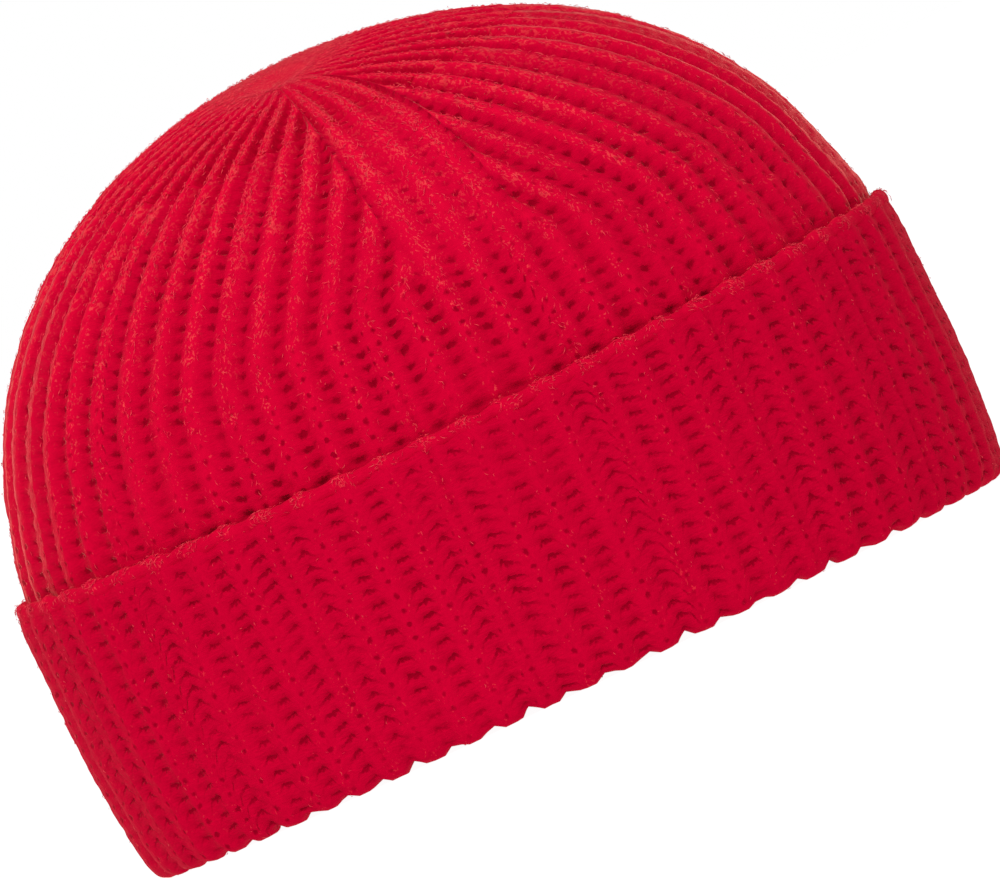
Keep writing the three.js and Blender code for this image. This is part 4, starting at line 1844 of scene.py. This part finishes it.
@dataclass
class Studio:
    """The pale floor, the soft light and the camera at the photograph's angle.

    Args:
        aim: The point at the middle of the picture.
    """

    aim: Vector = field(default_factory=lambda: Vector((0.0064, 0.0, 0.0553)))
    distance: float = 3.0
    elevation: float = math.radians(1.0)
    roll: float = math.radians(25.8)
    lens: float = 488.5
    sensor: float = 36.0
    clip_end: float = 100.0
    floor_radius: float = 30.0
    floor_corners: int = 128
    floor_tone: float = 0.10
    floor_glow: float = 0.96
    room_light: float = 0.5
    # The lamps: the direction that the light comes from, and its power in watts for each square metre
    key_from: tuple[float, float, float] = (-0.14, -0.66, 0.75)
    key_light: float = 2.15
    back_from: tuple[float, float, float] = (-0.50, 0.70, 0.50)
    back_light: float = 0.7
    softness: float = math.radians(60)

    def build(self) -> None:
        """Builds the studio."""
        self.place_camera()
        self.lay_floor()
        self.hang_lights()

    def place_camera(self) -> None:
        """Aims a long lens at the cap and turns it as the photograph is turned."""
        camera = bpy.data.cameras.new("camera")
        camera.lens = self.lens
        camera.sensor_width = self.sensor
        camera.clip_end = self.clip_end
        holder = bpy.data.objects.new("camera", camera)
        bpy.context.scene.collection.objects.link(holder)
        upwards = Vector((0.0, math.sin(self.elevation), math.cos(self.elevation)))
        back = Vector((0.0, -math.cos(self.elevation), math.sin(self.elevation)))
        right = Vector((1.0, 0.0, 0.0))
        turned_right = right * math.cos(self.roll) - upwards * math.sin(self.roll)
        turned_up = right * math.sin(self.roll) + upwards * math.cos(self.roll)
        matrix = Matrix((turned_right, turned_up, back)).transposed().to_4x4()
        matrix.translation = self.aim + back * self.distance
        holder.matrix_world = matrix
        bpy.context.scene.camera = holder

    def lay_floor(self) -> None:
        """Lays a pale round floor."""
        deselect_all()
        bpy.ops.mesh.primitive_circle_add(
            vertices=self.floor_corners, radius=self.floor_radius, fill_type="NGON"
        )
        floor = bpy.context.object
        floor.name = "floor"
        bench = ShaderBench("floor_paper")
        bench.set("Base Color", (*[self.floor_tone] * 3, 1.0))
        bench.set("Roughness", 1.0)
        bench.set("Specular IOR Level", 0.0)
        bench.set("Emission Color", WHITE)
        bench.set("Emission Strength", self.floor_glow)
        floor.data.materials.append(bench.material)

    def hang_lights(self) -> None:
        """Hangs a large soft key light above the front and a weaker one above the back, in a white room."""
        world = bpy.data.worlds.new("white_room")
        world.use_nodes = True
        tree = world.node_tree
        walls = tree.nodes["Background"]
        walls.inputs["Color"].default_value = WHITE
        # The walls look white, and their light is dimmed so that the lamps can model the knit
        sight = tree.nodes.new("ShaderNodeLightPath")
        dimmer = tree.nodes.new("ShaderNodeMapRange")
        dimmer.inputs["To Min"].default_value = self.room_light
        dimmer.inputs["To Max"].default_value = 1.0
        tree.links.new(sight.outputs["Is Camera Ray"], dimmer.inputs["Value"])
        tree.links.new(dimmer.outputs["Result"], walls.inputs["Strength"])
        bpy.context.scene.world = world
        self.hang_lamp("key", Vector(self.key_from), self.key_light)
        self.hang_lamp("back", Vector(self.back_from), self.back_light)
        bpy.context.scene.view_settings.view_transform = "Standard"

    def hang_lamp(self, name: str, source: Vector, power: float) -> None:
        """Hangs a broad soft lamp far away.

        Args:
            name: Its name.
            source: The direction that its light comes from.
            power: Its power in watts for each square metre.
        """
        lamp = bpy.data.lights.new(name, "SUN")
        lamp.angle = self.softness
        lamp.energy = power
        holder = bpy.data.objects.new(name, lamp)
        bpy.context.scene.collection.objects.link(holder)
        holder.rotation_mode = "QUATERNION"
        holder.rotation_quaternion = source.to_track_quat("Z", "Y")


def main() -> None:
    """Builds the cap piece by piece and reports each one."""
    logging.basicConfig(level=logging.INFO, format="%(name)s: %(message)s")
    cuff_low, cuff_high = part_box("cuff")
    edge_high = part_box("cast_on_edge")[1]
    crown_low, crown_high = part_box("crown")
    layer = 3.4 * MM
    gap = 0.4 * MM
    edge_height = 2.9 * MM
    edge_foot = edge_high.z - edge_height
    Studio().build()
    oval = HeadOval((cuff_high.x - cuff_low.x) / 2, (cuff_high.y - cuff_low.y) / 2)
    ribs = RibPlan(oval)
    crown_form = CrownForm(
        ribs, foot=crown_low.z, base=edge_high.z, rise=crown_high.z - edge_high.z, inset=layer + gap
    )
    cuff_form = CuffForm(
        ribs, height=edge_high.z, top=edge_foot, layer=layer, fold_width=2 * layer + gap
    )
    Crown(crown_form, layer).build()
    Cuff(cuff_form, layer).build()
    CastOnEdge(cuff_form, edge_high.z).build()


if __name__ == "__main__":
    main()
